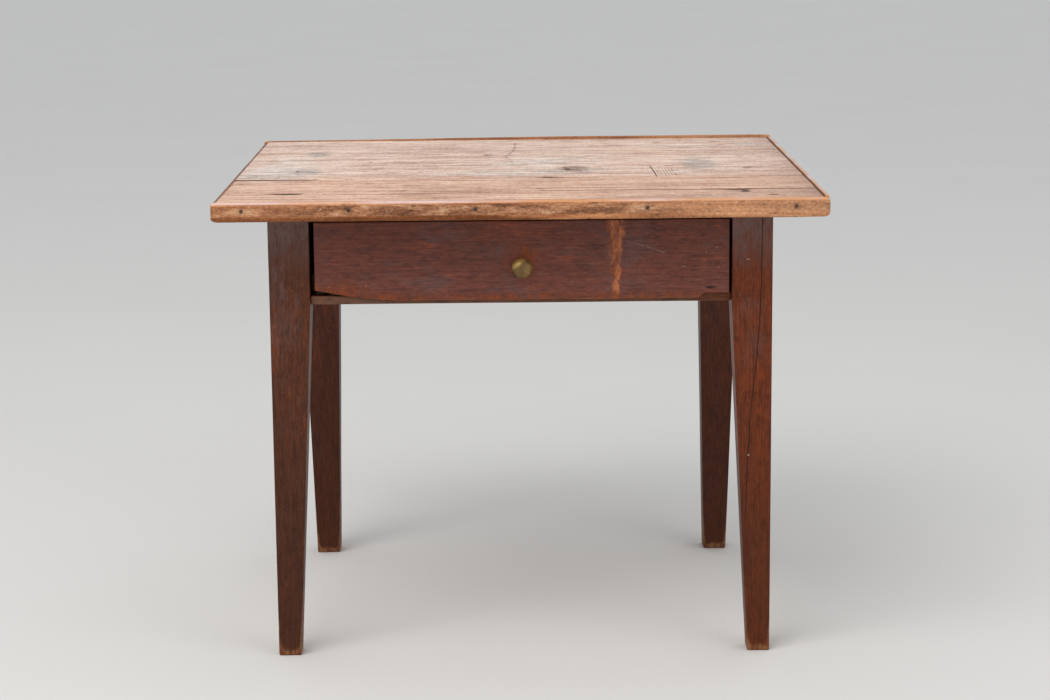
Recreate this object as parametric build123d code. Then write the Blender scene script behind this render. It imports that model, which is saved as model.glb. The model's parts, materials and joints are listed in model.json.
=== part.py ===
"""Small farmhouse side table with one drawer.

Frame: origin on the floor under the middle of the top, +Z up, the drawer opens
towards -Y. Millimetres. Four tapered legs carry a mortised apron frame, the top is
five edge-jointed boards with nailed lippings, and the drawer slides on wooden
runners nailed inside the side aprons.
"""

import os
from math import asin, cos, sin

from build123d import *

# ---------------------------------------------------------------- driving sizes
TABLE_HEIGHT = 558.0          # floor to the upper face of the top boards
TOP_WIDTH = 700.0             # X, over the side lippings
TOP_DEPTH = 655.0             # Y, over the front and back lippings
BOARD_THICK = 23.5
FRAME_WIDTH = 588.0           # X, over the legs
FRAME_DEPTH = 493.0           # Y, over the legs
APRON_HEIGHT = 109.5

# top
JOINTS_Y = (-243.0, -118.0, 165.0, 262.0)   # the glue lines between the boards
FRONT_LIPPING = 8.0
BACK_LIPPING = 8.0
SIDE_LIPPING = 6.0
FRONT_LIPPING_SINK = 0.4      # its upper edge is this far below the boards
BACK_LIPPING_RISE = 3.5       # it stands this far proud of the boards
RIGHT_LIPPING_RISE = 1.5
LEFT_LIPPING_SINK = 3.0
END_GAP = 0.8                 # the boards have shrunk away from the right lipping
LEFT_LIPPING_BREAK = 3.0      # gap between the two lengths on the left
PLAN_CORNER = 4.0             # rounding of the top's corners, seen from above

# legs
LEG = 48.0                    # section of a front leg at the apron
FOOT = 27.0                   # section of a front leg at the floor
REAR_LEG_WIDE = 52.0          # section of a rear leg at the apron, in X
REAR_LEG_DEEP = 48.5          # and in Y
REAR_FOOT = 31.0
REAR_FOOT_INSET = 12.5        # a rear leg's outer side leans in this far at the floor
LEG_EDGE = 1.5                # softened long edges

# aprons and rails
APRON = 20.0
SIDE_APRON_X = 289.0          # outer face of a side apron
REAR_APRON_SETBACK = 4.0
TENON = 9.0
TENON_LENGTH = 28.0
TENON_LOW = 12.0              # shoulder under a tenon
TENON_HIGH = 17.0             # shoulder over a tenon
RAIL_DEPTH = 45.0
RAIL_SETBACK = 7.5            # front rails stand behind the legs' front faces
LOWER_RAIL = 10.5
UPPER_RAIL = 10.0
PEG_RADIUS = 3.2
PEG_PROUD = 0.3
PEG_HEIGHTS = (24.0, 72.0)    # above the lower edge of the apron
FIT = 0.05                    # clearance around pegs, nails and screws
HEAD_SUNK = 0.3               # lipping nails are driven just under the surface

# drawer
DRAWER_LEFT = -240.5          # ends of the drawer front
DRAWER_RIGHT = 243.0
SIDE_SET_IN = 1.0             # drawer sides stand inside the ends of the front
FRONT_THICK = 20.0
SIDE_THICK = 11.0
BACK_THICK = 12.0
PANEL = 5.5                   # drawer bottom boards
PANEL_LIFT = 9.6              # lower face of the bottom above the sides' lower edge
PANEL_SPLIT_Y = -18.0
GROOVE = 4.0
DRAWER_REAR = 198.0           # rear ends of the drawer sides
BACK_SET_IN = 8.0             # drawer back stands this far inside those ends
HOUSING = 3.0                 # depth of the drawer back's housings in the sides
BACK_LOW = 4.0                # drawer back ends this far under the sides' upper edges
LIP = 6.5                     # thickness of the lip in front of the lower rail
LIP_DROP = 6.0
SLIDE_GAP = 0.4               # drawer over the runners
TOP_GAP = 1.5                 # drawer front under the upper rail
TAIL_DEPTH = 13.0
TAIL_START = 12.0             # under the lowest dovetail
TAIL_MARGIN = 14.0            # part of a drawer side's height without dovetails
GUIDE_CLEAR = 2.0
GUIDE_HEIGHT = 18.0
RUNNER_INNER_X = 226.0
GUIDE_NAIL = 36.0
RUNNER_NAIL = 25.0
STOP_HEIGHT = 30.0

# fixing of the top
BLOCK = 20.0                  # section of a glue block
BLOCK_LENGTH = 64.0
SCREW_HEAD = 4.2
SCREW_SHANK = 2.0
SCREW_LENGTH = 25.0

# knob
KNOB_Z = 469.0
KNOB_RADIUS = 12.0
KNOB_LENGTH = 19.0
KNOB_DOME = 8.0               # height of the dome over its rim
STUD_RADIUS = 2.2
NUT = 9.0
NUT_THICK = 4.0
WASHER_RADIUS = 7.0
WASHER_THICK = 1.2

# ---------------------------------------------------------------- worked out
FRAME_TOP = TABLE_HEIGHT - BOARD_THICK
APRON_Z = FRAME_TOP - APRON_HEIGHT
LEG_X = FRAME_WIDTH / 2
LEG_Y = FRAME_DEPTH / 2
FRONT_IN_X = LEG_X - LEG      # inner side of a front leg
REAR_IN_X = LEG_X - REAR_LEG_WIDE
FRONT_IN_Y = -LEG_Y + LEG     # back of a front leg
REAR_IN_Y = LEG_Y - REAR_LEG_DEEP         # front of a rear leg
APRON_IN_X = SIDE_APRON_X - APRON
REAR_APRON_Y = LEG_Y - REAR_APRON_SETBACK - APRON   # inner face of the back apron
RAIL_Y = -LEG_Y + RAIL_SETBACK
RAIL_BACK_Y = RAIL_Y + RAIL_DEPTH
RUNNER_Z = APRON_Z + LOWER_RAIL          # the surface that the drawer slides on
OPENING_Z = FRAME_TOP - UPPER_RAIL
SIDE_Z = RUNNER_Z + SLIDE_GAP
SIDE_TOP = OPENING_Z - 3.0
FRONT_Y = -LEG_Y
FRONT_BACK_Y = FRONT_Y + FRONT_THICK
SIDE_LEFT = DRAWER_LEFT + SIDE_SET_IN    # outer faces of the drawer sides
SIDE_RIGHT = DRAWER_RIGHT - SIDE_SET_IN
BACK_Y = DRAWER_REAR - BACK_SET_IN - BACK_THICK
PANEL_Z = SIDE_Z + PANEL_LIFT
KNOB_X = (DRAWER_LEFT + DRAWER_RIGHT) / 2
BOARDS_X = TOP_WIDTH / 2 - SIDE_LIPPING
BOARDS_FRONT = -TOP_DEPTH / 2 + FRONT_LIPPING
BOARDS_BACK = TOP_DEPTH / 2 - BACK_LIPPING


def block(x0, x1, y0, y1, z0, z1):
    """An upright box between two corners, in either order along X."""
    low_x, high_x = min(x0, x1), max(x0, x1)
    corner = Align.MIN, Align.MIN, Align.MIN
    return Pos(low_x, y0, z0) * Box(high_x - low_x, y1 - y0, z1 - z0, align=corner)


def prism_xz(points, y0, y1):
    """A polygon in X and Z carried along Y from y0 to y1."""
    face = make_face(Polyline([(x, y0, z) for x, z in points], close=True))
    return extrude(face, y1 - y0, dir=(0, 1, 0))


def prism_yz(points, x0, x1):
    """A polygon in Y and Z carried along X from x0 to x1."""
    face = make_face(Polyline([(x0, y, z) for y, z in points], close=True))
    return extrude(face, x1 - x0, dir=(1, 0, 0))


def rod(start, end, radius):
    """A round bar between two points that differ along one axis."""
    a, b = Vector(*start), Vector(*end)
    path = Plane(origin=a, z_dir=b - a)
    return extrude(path * Circle(radius), (b - a).length)


def join(solids):
    """Several separate solids as one node."""
    return Compound(children=list(solids))


# ---------------------------------------------------------------- nails
def cut_nail(head, direction, length, head_size=(5.0, 4.0), shank=2.6, head_thick=1.4, slack=0.0):
    """A square cut nail. head is the middle of the head's outer face."""
    place = Plane(origin=head, z_dir=direction)
    grow = 2 * slack
    cap = extrude(place * Rectangle(head_size[0] + grow, head_size[1] + grow), head_thick)
    body = extrude(place * Rectangle(shank + grow, shank + grow), length)
    return cap + body


def front_lipping_nails(slack=0.0):
    """Five nails, unevenly spaced, a little above the middle of the strip."""
    face_y = -TOP_DEPTH / 2 + HEAD_SUNK
    height = TABLE_HEIGHT - 10.5
    return [
        cut_nail((x, face_y, height), (0, 1, 0), 32.0, slack=slack)
        for x in (-315.0, -194.0, -51.0, 143.0, 311.0)
    ]


def back_lipping_nails(slack=0.0):
    face_y = TOP_DEPTH / 2 - HEAD_SUNK
    height = TABLE_HEIGHT - 10.5
    return [
        cut_nail((x, face_y, height), (0, -1, 0), 32.0, slack=slack)
        for x in (-306.0, -160.0, 12.0, 171.0, 309.0)
    ]


def side_lipping_nails(slack=0.0):
    found = []
    for side in (-1, 1):
        for y in (-292.0, -186.0, -58.0, 96.0, 268.0):
            head = (side * (TOP_WIDTH / 2 - HEAD_SUNK), y, TABLE_HEIGHT - 12.0)
            found.append(cut_nail(head, (-side, 0, 0), 26.0, (3.6, 3.0), 1.8, 1.0, slack))
    return found


def runner_nails(slack=0.0):
    """Nails through each guide into its apron, and up through each runner."""
    found = []
    for side in (-1, 1):
        inner = guide_inner_x(side)
        for y in (-150.0, 10.0, 165.0):
            head = (inner, y, RUNNER_Z + GUIDE_HEIGHT / 2)
            found.append(cut_nail(head, (side, 0, 0), GUIDE_NAIL, slack=slack))
        for y in (-120.0, 60.0, 140.0):
            head = (side * 256.0, y, APRON_Z)
            found.append(cut_nail(head, (0, 0, 1), RUNNER_NAIL, slack=slack))
    return found


def drawer_nails(slack=0.0):
    """Two nails through each drawer side into the back, and three up through the bottom."""
    found = []
    middle_y = BACK_Y + BACK_THICK / 2
    for outer, direction in ((SIDE_LEFT, 1), (SIDE_RIGHT, -1)):
        for rise in (26.0, 62.0):
            head = (outer, middle_y, SIDE_Z + rise)
            found.append(cut_nail(head, (direction, 0, 0), 30.0, (4.0, 3.2), 2.0, 1.0, slack))
    for x in (-150.0, 0.0, 150.0):
        head = (KNOB_X + x, middle_y, PANEL_Z)
        found.append(cut_nail(head, (0, 0, 1), 24.0, (4.0, 3.2), 2.0, 1.0, slack))
    return found


# ---------------------------------------------------------------- legs
def leg_section(x_range, y_range, z):
    """A level slice through a leg, with its four corners eased."""
    (x0, x1), (y0, y1), ease = x_range, y_range, LEG_EDGE
    outline = [
        (x0 + ease, y0), (x1 - ease, y0), (x1, y0 + ease), (x1, y1 - ease),
        (x1 - ease, y1), (x0 + ease, y1), (x0, y1 - ease), (x0, y0 + ease),
    ]
    return make_face(Polyline([(x, y, z) for x, y in outline], close=True))


def tapered_leg(foot_x, head_x, foot_y, head_y):
    """Square down to the apron's lower edge, then tapering to the foot."""
    foot = leg_section(foot_x, foot_y, 0)
    shoulder = leg_section(head_x, head_y, APRON_Z)
    head = leg_section(head_x, head_y, FRAME_TOP)
    return loft([foot, shoulder], ruled=True) + loft([shoulder, head], ruled=True)


def front_leg(side):
    """Outer faces upright, the two inner faces tapering below the apron."""
    foot_x = sorted((side * LEG_X, side * (LEG_X - FOOT)))
    head_x = sorted((side * LEG_X, side * FRONT_IN_X))
    return tapered_leg(foot_x, head_x, (-LEG_Y, -LEG_Y + FOOT), (-LEG_Y, FRONT_IN_Y))


def rear_leg(side):
    """Tapers on both sides and on the front, with the back upright."""
    outer_foot = LEG_X - REAR_FOOT_INSET
    foot_x = sorted((side * outer_foot, side * (outer_foot - REAR_FOOT)))
    head_x = sorted((side * LEG_X, side * REAR_IN_X))
    return tapered_leg(foot_x, head_x, (LEG_Y - REAR_FOOT, LEG_Y), (REAR_IN_Y, LEG_Y))


# ---------------------------------------------------------------- apron frame
def side_apron_tenons(side):
    middle = SIDE_APRON_X - APRON / 2
    x0, x1 = side * (middle - TENON / 2), side * (middle + TENON / 2)
    z0, z1 = APRON_Z + TENON_LOW, FRAME_TOP - TENON_HIGH
    front = block(x0, x1, FRONT_IN_Y - TENON_LENGTH, FRONT_IN_Y, z0, z1)
    rear = block(x0, x1, REAR_IN_Y, REAR_IN_Y + TENON_LENGTH, z0, z1)
    return front, rear


def rear_apron_tenons():
    y0 = REAR_APRON_Y + (APRON - TENON) / 2
    y1 = y0 + TENON
    z0, z1 = APRON_Z + TENON_LOW, FRAME_TOP - TENON_HIGH
    return [block(side * REAR_IN_X, side * (REAR_IN_X + TENON_LENGTH), y0, y1, z0, z1) for side in (-1, 1)]


def lower_rail_tenons():
    y0, y1 = RAIL_Y + 6.0, RAIL_BACK_Y - 12.0
    z0, z1 = APRON_Z + 1.5, RUNNER_Z - 1.5
    return [block(side * FRONT_IN_X, side * (FRONT_IN_X + 22.0), y0, y1, z0, z1) for side in (-1, 1)]


def upper_rail_tails():
    """A dovetail at each end of the upper rail, let into the top of the leg."""
    found = []
    middle = RAIL_Y + 21.0
    for side in (-1, 1):
        root, tip = side * FRONT_IN_X, side * (FRONT_IN_X + 24.0)
        outline = [(root, middle - 9.0), (tip, middle - 13.0), (tip, middle + 13.0), (root, middle + 9.0)]
        face = make_face(Polyline([(x, y, OPENING_Z + 2.0) for x, y in outline], close=True))
        found.append(extrude(face, UPPER_RAIL - 2.0, dir=(0, 0, 1)))
    return found


def pegs(slack=0.0):
    """Two pegs through each apron tenon, from the outer face of the leg."""
    radius = PEG_RADIUS + slack
    found = []
    for rise in PEG_HEIGHTS:
        z = APRON_Z + rise
        for side in (-1, 1):
            inner = side * (SIDE_APRON_X - APRON)
            front_y, rear_y = FRONT_IN_Y - 15.0, REAR_IN_Y + 14.0
            found.append(rod((side * (LEG_X + PEG_PROUD), front_y, z), (inner, front_y, z), radius))
            found.append(rod((side * (LEG_X + PEG_PROUD), rear_y, z), (inner, rear_y, z), radius))
            x = side * (REAR_IN_X + 13.0)
            back = LEG_Y + PEG_PROUD
            z_back = z - 9.0
            found.append(rod((x, back, z_back), (x, REAR_APRON_Y, z_back), radius))
    return found


def side_apron(side):
    board = block(side * APRON_IN_X, side * SIDE_APRON_X, FRONT_IN_Y, REAR_IN_Y, APRON_Z, FRAME_TOP)
    front, rear = side_apron_tenons(side)
    return board + front + rear


def rear_apron():
    board = block(-REAR_IN_X, REAR_IN_X, REAR_APRON_Y, REAR_APRON_Y + APRON, APRON_Z, FRAME_TOP)
    left, right = rear_apron_tenons()
    return board + left + right


def lower_rail():
    rail = block(-FRONT_IN_X, FRONT_IN_X, RAIL_Y, RAIL_BACK_Y, APRON_Z, RUNNER_Z)
    left, right = lower_rail_tenons()
    return rail + left + right


def upper_rail():
    rail = block(-FRONT_IN_X, FRONT_IN_X, RAIL_Y, RAIL_BACK_Y, OPENING_Z, FRAME_TOP)
    left, right = upper_rail_tails()
    return rail + left + right


# ---------------------------------------------------------------- runners
def guide_inner_x(side):
    drawer = SIDE_RIGHT if side > 0 else -SIDE_LEFT
    return side * (drawer + GUIDE_CLEAR)


def runner(side):
    return block(side * RUNNER_INNER_X, side * APRON_IN_X, RAIL_BACK_Y, REAR_IN_Y, APRON_Z, RUNNER_Z)


def guide(side):
    top = RUNNER_Z + GUIDE_HEIGHT
    return block(guide_inner_x(side), side * APRON_IN_X, RAIL_BACK_Y, REAR_IN_Y, RUNNER_Z, top)


def kicker(side):
    """The strip over a drawer side that keeps the open drawer from tipping."""
    return block(side * RUNNER_INNER_X, side * APRON_IN_X, RAIL_BACK_Y, REAR_IN_Y, OPENING_Z, FRAME_TOP)


def stops():
    """Two blocks on the back apron that the drawer sides meet."""
    y0, y1 = DRAWER_REAR + 0.5, REAR_APRON_Y
    z0 = SIDE_Z + 8.0
    return [block(side * 214.0, side * 240.0, y0, y1, z0, z0 + STOP_HEIGHT) for side in (-1, 1)]


# ---------------------------------------------------------------- fixing of the top
def glue_blocks():
    """Three blocks in the corner between the back apron and the top."""
    y0, y1 = REAR_APRON_Y - BLOCK, REAR_APRON_Y
    half = BLOCK_LENGTH / 2
    return [block(x - half, x + half, y0, y1, FRAME_TOP - BLOCK, FRAME_TOP) for x in (-140.0, 0.0, 140.0)]


def top_screws(slack=0.0):
    """Countersunk screws up through the upper rail and the kickers."""
    rail_y = (RAIL_Y + RAIL_BACK_Y) / 2
    places = [(-150.0, rail_y), (150.0, rail_y)]
    places += [(side * 250.0, y) for side in (-1, 1) for y in (-120.0, 120.0)]
    found = []
    for x, y in places:
        shank = Pos(x, y, OPENING_Z) * extrude(Circle(SCREW_SHANK + slack), SCREW_LENGTH)
        sink = SCREW_HEAD - SCREW_SHANK
        wide = Pos(x, y, OPENING_Z) * Circle(SCREW_HEAD + slack)
        narrow = Pos(x, y, OPENING_Z + sink) * Circle(SCREW_SHANK + slack)
        found.append(shank + loft([wide, narrow]))
    return found


# ---------------------------------------------------------------- top
def top_board(index):
    edges = (BOARDS_FRONT, *JOINTS_Y, BOARDS_BACK)
    return block(-BOARDS_X, BOARDS_X - END_GAP, edges[index], edges[index + 1], FRAME_TOP, TABLE_HEIGHT)


def across_lipping(y0, y1, outer_y, top, nosing):
    """A full-width strip with a rounded outer face and rounded ends."""
    strip = block(-TOP_WIDTH / 2, TOP_WIDTH / 2, y0, y1, FRAME_TOP, top)
    corners = strip.edges().filter_by(Axis.Z).filter_by(lambda e: abs(e.center().Y - outer_y) < FIT)
    strip = fillet(corners, PLAN_CORNER)
    long_edges = strip.edges().filter_by(Axis.X).filter_by(lambda e: abs(e.center().Y - outer_y) < FIT)
    return chamfer(long_edges, nosing)


def front_lipping():
    top = TABLE_HEIGHT - FRONT_LIPPING_SINK
    return across_lipping(-TOP_DEPTH / 2, BOARDS_FRONT, -TOP_DEPTH / 2, top, 2.5)


def back_lipping():
    top = TABLE_HEIGHT + BACK_LIPPING_RISE
    return across_lipping(BOARDS_BACK, TOP_DEPTH / 2, TOP_DEPTH / 2, top, 2.5)


def side_lipping(side, y0, y1, rise):
    outer = side * TOP_WIDTH / 2
    strip = block(side * BOARDS_X, outer, y0, y1, FRAME_TOP, TABLE_HEIGHT + rise)
    outer_edges = strip.edges().filter_by(Axis.Y).filter_by(lambda e: abs(e.center().X - outer) < FIT)
    return fillet(outer_edges, 1.6)


# ---------------------------------------------------------------- drawer
def tails(side, beyond=0.0):
    """Three dovetails on the front end of a drawer side, carried beyond its outer face."""
    outer = SIDE_RIGHT if side > 0 else SIDE_LEFT
    low, high = sorted((outer + side * beyond, outer - side * SIDE_THICK))
    root, tip = FRONT_BACK_Y, FRONT_BACK_Y - TAIL_DEPTH
    pitch = (SIDE_TOP - SIDE_Z - TAIL_MARGIN) / 3
    half_root, half_tip = pitch * 0.28, pitch * 0.37
    found = []
    for i in range(3):
        z = SIDE_Z + TAIL_START + pitch * (i + 0.5)
        outline = [(root, z - half_root), (tip, z - half_tip), (tip, z + half_tip), (root, z + half_root)]
        found.append(prism_yz(outline, low, high))
    return found


def worn_corner_cutter():
    """The lower left corner of the drawer front, rubbed away in a long slope."""
    low = SIDE_Z - LIP_DROP
    outline = [
        (DRAWER_LEFT - 1, low - 1), (DRAWER_LEFT - 1, low + 13.0), (DRAWER_LEFT + 8, low + 11.4),
        (DRAWER_LEFT + 36, low + 6.0), (DRAWER_LEFT + 66, low + 2.2), (DRAWER_LEFT + 100, low - 1),
    ]
    return prism_xz(outline, FRONT_Y - 1, FRONT_BACK_Y + 1)


def broken_corner_cutter():
    """The lip's right-hand end, broken off."""
    low = SIDE_Z - LIP_DROP
    return block(DRAWER_RIGHT - 29.5, DRAWER_RIGHT + 1, FRONT_Y - 1, FRONT_Y + LIP + 1, low - 1, SIDE_Z)


def panel_edges():
    """Left and right edges of the drawer bottom, inside the grooves."""
    return SIDE_LEFT + SIDE_THICK - GROOVE, SIDE_RIGHT - SIDE_THICK + GROOVE


def drawer_front():
    board = block(DRAWER_LEFT, DRAWER_RIGHT, FRONT_Y, FRONT_BACK_Y, SIDE_Z, OPENING_Z - TOP_GAP)
    lip = block(DRAWER_LEFT, DRAWER_RIGHT, FRONT_Y, FRONT_Y + LIP, SIDE_Z - LIP_DROP, SIDE_Z)
    left, right = panel_edges()
    groove = block(left, right, FRONT_BACK_Y - GROOVE, FRONT_BACK_Y + 1, PANEL_Z, PANEL_Z + PANEL)
    front = board + lip - worn_corner_cutter() - broken_corner_cutter() - groove
    for tail in tails(-1, beyond=2 * SIDE_SET_IN) + tails(1, beyond=2 * SIDE_SET_IN):
        front -= tail
    return front - rod((KNOB_X, FRONT_Y - 1, KNOB_Z), (KNOB_X, FRONT_BACK_Y + 1, KNOB_Z), STUD_RADIUS + 0.4)


def drawer_side(side):
    outer = SIDE_RIGHT if side > 0 else SIDE_LEFT
    inner = outer - side * SIDE_THICK
    board = block(outer, inner, FRONT_BACK_Y, DRAWER_REAR, SIDE_Z, SIDE_TOP)
    groove_x, housing_x = inner + side * GROOVE, inner + side * HOUSING
    groove = block(inner, groove_x, FRONT_BACK_Y - 1, DRAWER_REAR + 1, PANEL_Z, PANEL_Z + PANEL)
    housing = block(inner, housing_x, BACK_Y, BACK_Y + BACK_THICK, PANEL_Z + PANEL, SIDE_TOP + 1)
    board = board - groove - housing
    for tail in tails(side):
        board += tail
    return board


def drawer_back():
    left = SIDE_LEFT + SIDE_THICK - HOUSING
    right = SIDE_RIGHT - SIDE_THICK + HOUSING
    return block(left, right, BACK_Y, BACK_Y + BACK_THICK, PANEL_Z + PANEL, SIDE_TOP - BACK_LOW)


def drawer_bottom(part):
    left, right = panel_edges()
    y0, y1 = FRONT_BACK_Y - GROOVE, PANEL_SPLIT_Y
    if part == "rear":
        y0, y1 = PANEL_SPLIT_Y, DRAWER_REAR - 2.0
    return block(left, right, y0, y1, PANEL_Z, PANEL_Z + PANEL)


# ---------------------------------------------------------------- knob
def knob():
    """Turned brass: a flange, a waisted neck and a domed head."""
    face = FRONT_Y
    crown = face - KNOB_LENGTH
    rim = crown + KNOB_DOME
    turned = Polyline(
        (0, crown), (0, face), (7.0, face), (7.0, face - 1.6), (4.4, face - 4.0),
        (4.4, face - 6.6), (10.6, face - 8.4), (KNOB_RADIUS, rim + 1.5), (KNOB_RADIUS, rim),
    )
    ball = (KNOB_RADIUS ** 2 + KNOB_DOME ** 2) / (2 * KNOB_DOME)
    half = asin(KNOB_RADIUS / ball) / 2
    dome = ThreePointArc((KNOB_RADIUS, rim), (ball * sin(half), crown + ball * (1 - cos(half))), (0, crown))
    outline = make_face([*turned.edges(), dome])
    return Pos(KNOB_X, 0, KNOB_Z) * revolve(outline, Axis.Y) - stud()


def stud():
    """The knob's screw, from inside the head to past the nut."""
    end = FRONT_BACK_Y + WASHER_THICK + NUT_THICK + 3.5
    return rod((KNOB_X, FRONT_Y - 9.0, KNOB_Z), (KNOB_X, end, KNOB_Z), STUD_RADIUS)


def washer():
    y1 = FRONT_BACK_Y + WASHER_THICK
    return rod((KNOB_X, FRONT_BACK_Y, KNOB_Z), (KNOB_X, y1, KNOB_Z), WASHER_RADIUS) - stud()


def nut():
    y0 = FRONT_BACK_Y + WASHER_THICK
    body = block(KNOB_X - NUT / 2, KNOB_X + NUT / 2, y0, y0 + NUT_THICK, KNOB_Z - NUT / 2, KNOB_Z + NUT / 2)
    return body - stud()


# ---------------------------------------------------------------- fitting together
def cut_all(shape, cutters):
    """shape less every cutter that reaches into its box."""
    box = shape.bounding_box()
    for cutter in cutters:
        other = cutter.bounding_box()
        apart = (
            other.min.X > box.max.X or other.max.X < box.min.X
            or other.min.Y > box.max.Y or other.max.Y < box.min.Y
            or other.min.Z > box.max.Z or other.max.Z < box.min.Z
        )
        if not apart:
            shape = shape - cutter
    return shape


def main():
    os.makedirs("parts", exist_ok=True)
    sides = {"left": -1, "right": 1}
    frame_cuts = pegs(FIT) + runner_nails(FIT) + top_screws(FIT)
    lipping_cuts = front_lipping_nails(FIT) + back_lipping_nails(FIT) + side_lipping_nails(FIT)
    top_cuts = lipping_cuts + top_screws(FIT)
    drawer_cuts = drawer_nails(FIT)
    front_sockets = [*lower_rail_tenons(), *upper_rail_tails()]
    nodes = {}
    for name, side in sides.items():
        front_tenon, rear_tenon = side_apron_tenons(side)
        nodes[f"leg_front_{name}"] = cut_all(front_leg(side), [front_tenon, *front_sockets, *frame_cuts])
        nodes[f"leg_rear_{name}"] = cut_all(rear_leg(side), [rear_tenon, *rear_apron_tenons(), *frame_cuts])
        nodes[f"side_apron_{name}"] = cut_all(side_apron(side), frame_cuts)
        nodes[f"drawer_runner_{name}"] = cut_all(runner(side), frame_cuts)
        nodes[f"drawer_guide_{name}"] = cut_all(guide(side), frame_cuts)
        nodes[f"drawer_kicker_{name}"] = cut_all(kicker(side), frame_cuts)
        nodes[f"drawer_side_{name}"] = cut_all(drawer_side(side), drawer_cuts)
    nodes["rear_apron"] = cut_all(rear_apron(), frame_cuts)
    nodes["front_rail_lower"] = lower_rail()
    nodes["front_rail_upper"] = cut_all(upper_rail(), frame_cuts)
    nodes["drawer_stops"] = join(stops())
    nodes["joint_pegs"] = join(pegs())
    nodes["glue_blocks"] = join(glue_blocks())
    nodes["top_screws"] = join(top_screws())
    for index in range(len(JOINTS_Y) + 1):
        nodes[f"top_board_{index + 1}"] = cut_all(top_board(index), top_cuts)
    nodes["top_lipping_front"] = cut_all(front_lipping(), lipping_cuts)
    nodes["top_lipping_back"] = cut_all(back_lipping(), lipping_cuts)
    break_y = JOINTS_Y[1]
    strips = {
        "right": (1, BOARDS_FRONT, BOARDS_BACK, RIGHT_LIPPING_RISE),
        "left_front": (-1, BOARDS_FRONT, break_y - LEFT_LIPPING_BREAK, -LEFT_LIPPING_SINK),
        "left_rear": (-1, break_y, BOARDS_BACK, -LEFT_LIPPING_SINK),
    }
    for name, strip in strips.items():
        nodes[f"top_lipping_{name}"] = cut_all(side_lipping(*strip), lipping_cuts)
    nodes["lipping_nails_front"] = join(front_lipping_nails())
    nodes["lipping_nails_back"] = join(back_lipping_nails())
    nodes["lipping_nails_sides"] = join(side_lipping_nails())
    nodes["runner_nails"] = join(runner_nails())
    nodes["drawer_front"] = drawer_front()
    nodes["drawer_back"] = cut_all(drawer_back(), drawer_cuts)
    nodes["drawer_bottom_front"] = drawer_bottom("front")
    nodes["drawer_bottom_rear"] = cut_all(drawer_bottom("rear"), drawer_cuts)
    nodes["drawer_nails"] = join(drawer_nails())
    nodes["knob"] = knob()
    nodes["knob_stud"] = stud()
    nodes["knob_washer"] = washer()
    nodes["knob_nut"] = nut()
    for name, shape in nodes.items():
        export_step(shape, f"parts/{name}.step")


main()
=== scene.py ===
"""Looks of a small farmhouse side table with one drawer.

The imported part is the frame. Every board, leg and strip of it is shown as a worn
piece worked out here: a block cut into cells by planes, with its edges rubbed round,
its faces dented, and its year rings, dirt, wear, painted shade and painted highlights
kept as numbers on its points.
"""

import json
import math

import bpy
import numpy as np
from mathutils import Matrix, Vector


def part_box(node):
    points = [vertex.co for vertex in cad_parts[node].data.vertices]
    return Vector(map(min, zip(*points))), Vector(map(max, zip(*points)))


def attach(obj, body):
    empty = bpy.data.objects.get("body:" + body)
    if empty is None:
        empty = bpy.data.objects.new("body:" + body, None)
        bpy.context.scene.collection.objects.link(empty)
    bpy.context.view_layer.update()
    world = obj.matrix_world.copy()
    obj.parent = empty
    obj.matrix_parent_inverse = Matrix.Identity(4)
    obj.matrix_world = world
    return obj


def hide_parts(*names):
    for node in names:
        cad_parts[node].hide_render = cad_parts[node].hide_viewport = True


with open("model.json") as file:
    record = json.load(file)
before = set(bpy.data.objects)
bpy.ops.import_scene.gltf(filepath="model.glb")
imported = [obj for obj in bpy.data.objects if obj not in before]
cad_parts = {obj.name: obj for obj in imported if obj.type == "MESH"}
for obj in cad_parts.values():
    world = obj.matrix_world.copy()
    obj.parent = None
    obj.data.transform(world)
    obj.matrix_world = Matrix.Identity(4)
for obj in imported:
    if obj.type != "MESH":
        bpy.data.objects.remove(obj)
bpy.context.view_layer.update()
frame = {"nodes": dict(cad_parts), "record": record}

MM = 0.001
X, Y, Z = 0, 1, 2


def corners(node):
    """The low and the high corner of a node's box, as arrays."""
    low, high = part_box(node)
    return np.array(low, float), np.array(high, float)


# ------------------------------------------------------------------ numbers on points


def grid_noise(points, size, seed):
    """Smooth noise from -1 to 1.

    Random values sit on a lattice of the given spacing, which may differ along each
    axis, and a point blends its eight corners with the weight t*t*(3 - 2t).
    """
    table = np.random.default_rng(seed).uniform(-1.0, 1.0, (32, 32, 32))
    place = points / np.asarray(size) + 100.0
    cell = np.floor(place).astype(int)
    part = place - cell
    part = part * part * (3.0 - 2.0 * part)
    total = np.zeros(len(points))
    for corner in np.ndindex(2, 2, 2):
        step = np.array(corner)
        weight = np.prod(np.where(step == 1, part, 1.0 - part), axis=1)
        index = (cell + step) % 32
        total += weight * table[index[:, 0], index[:, 1], index[:, 2]]
    return total


def rough_noise(points, size, seed):
    """Three layers of grid_noise, each half the size and half the height of the last."""
    size = np.asarray(size, float)
    layers = [grid_noise(points, size / 2 ** i, seed + i) / 2 ** i for i in range(3)]
    return sum(layers) / 1.75


def ease(value, low, high):
    """0 below low, 1 above high, and t*t*(3 - 2t) between."""
    t = np.clip((value - low) / (high - low), 0.0, 1.0)
    return t * t * (3.0 - 2.0 * t)


def fade(distance, length):
    """e to the minus distance over length: 1 at nothing, falling away."""
    return np.exp(-distance / length)


def spot(points, x, y, wide, deep):
    """A round-topped patch in X and Y: e to the minus squared distance in radii."""
    return np.exp(-((points[:, X] - x) / wide) ** 2 - ((points[:, Y] - y) / deep) ** 2)


# ------------------------------------------------------------------ blocks

CROWD = np.array([0.0, 0.1, 0.24, 0.42, 0.64, 0.9, 1.25])


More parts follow.
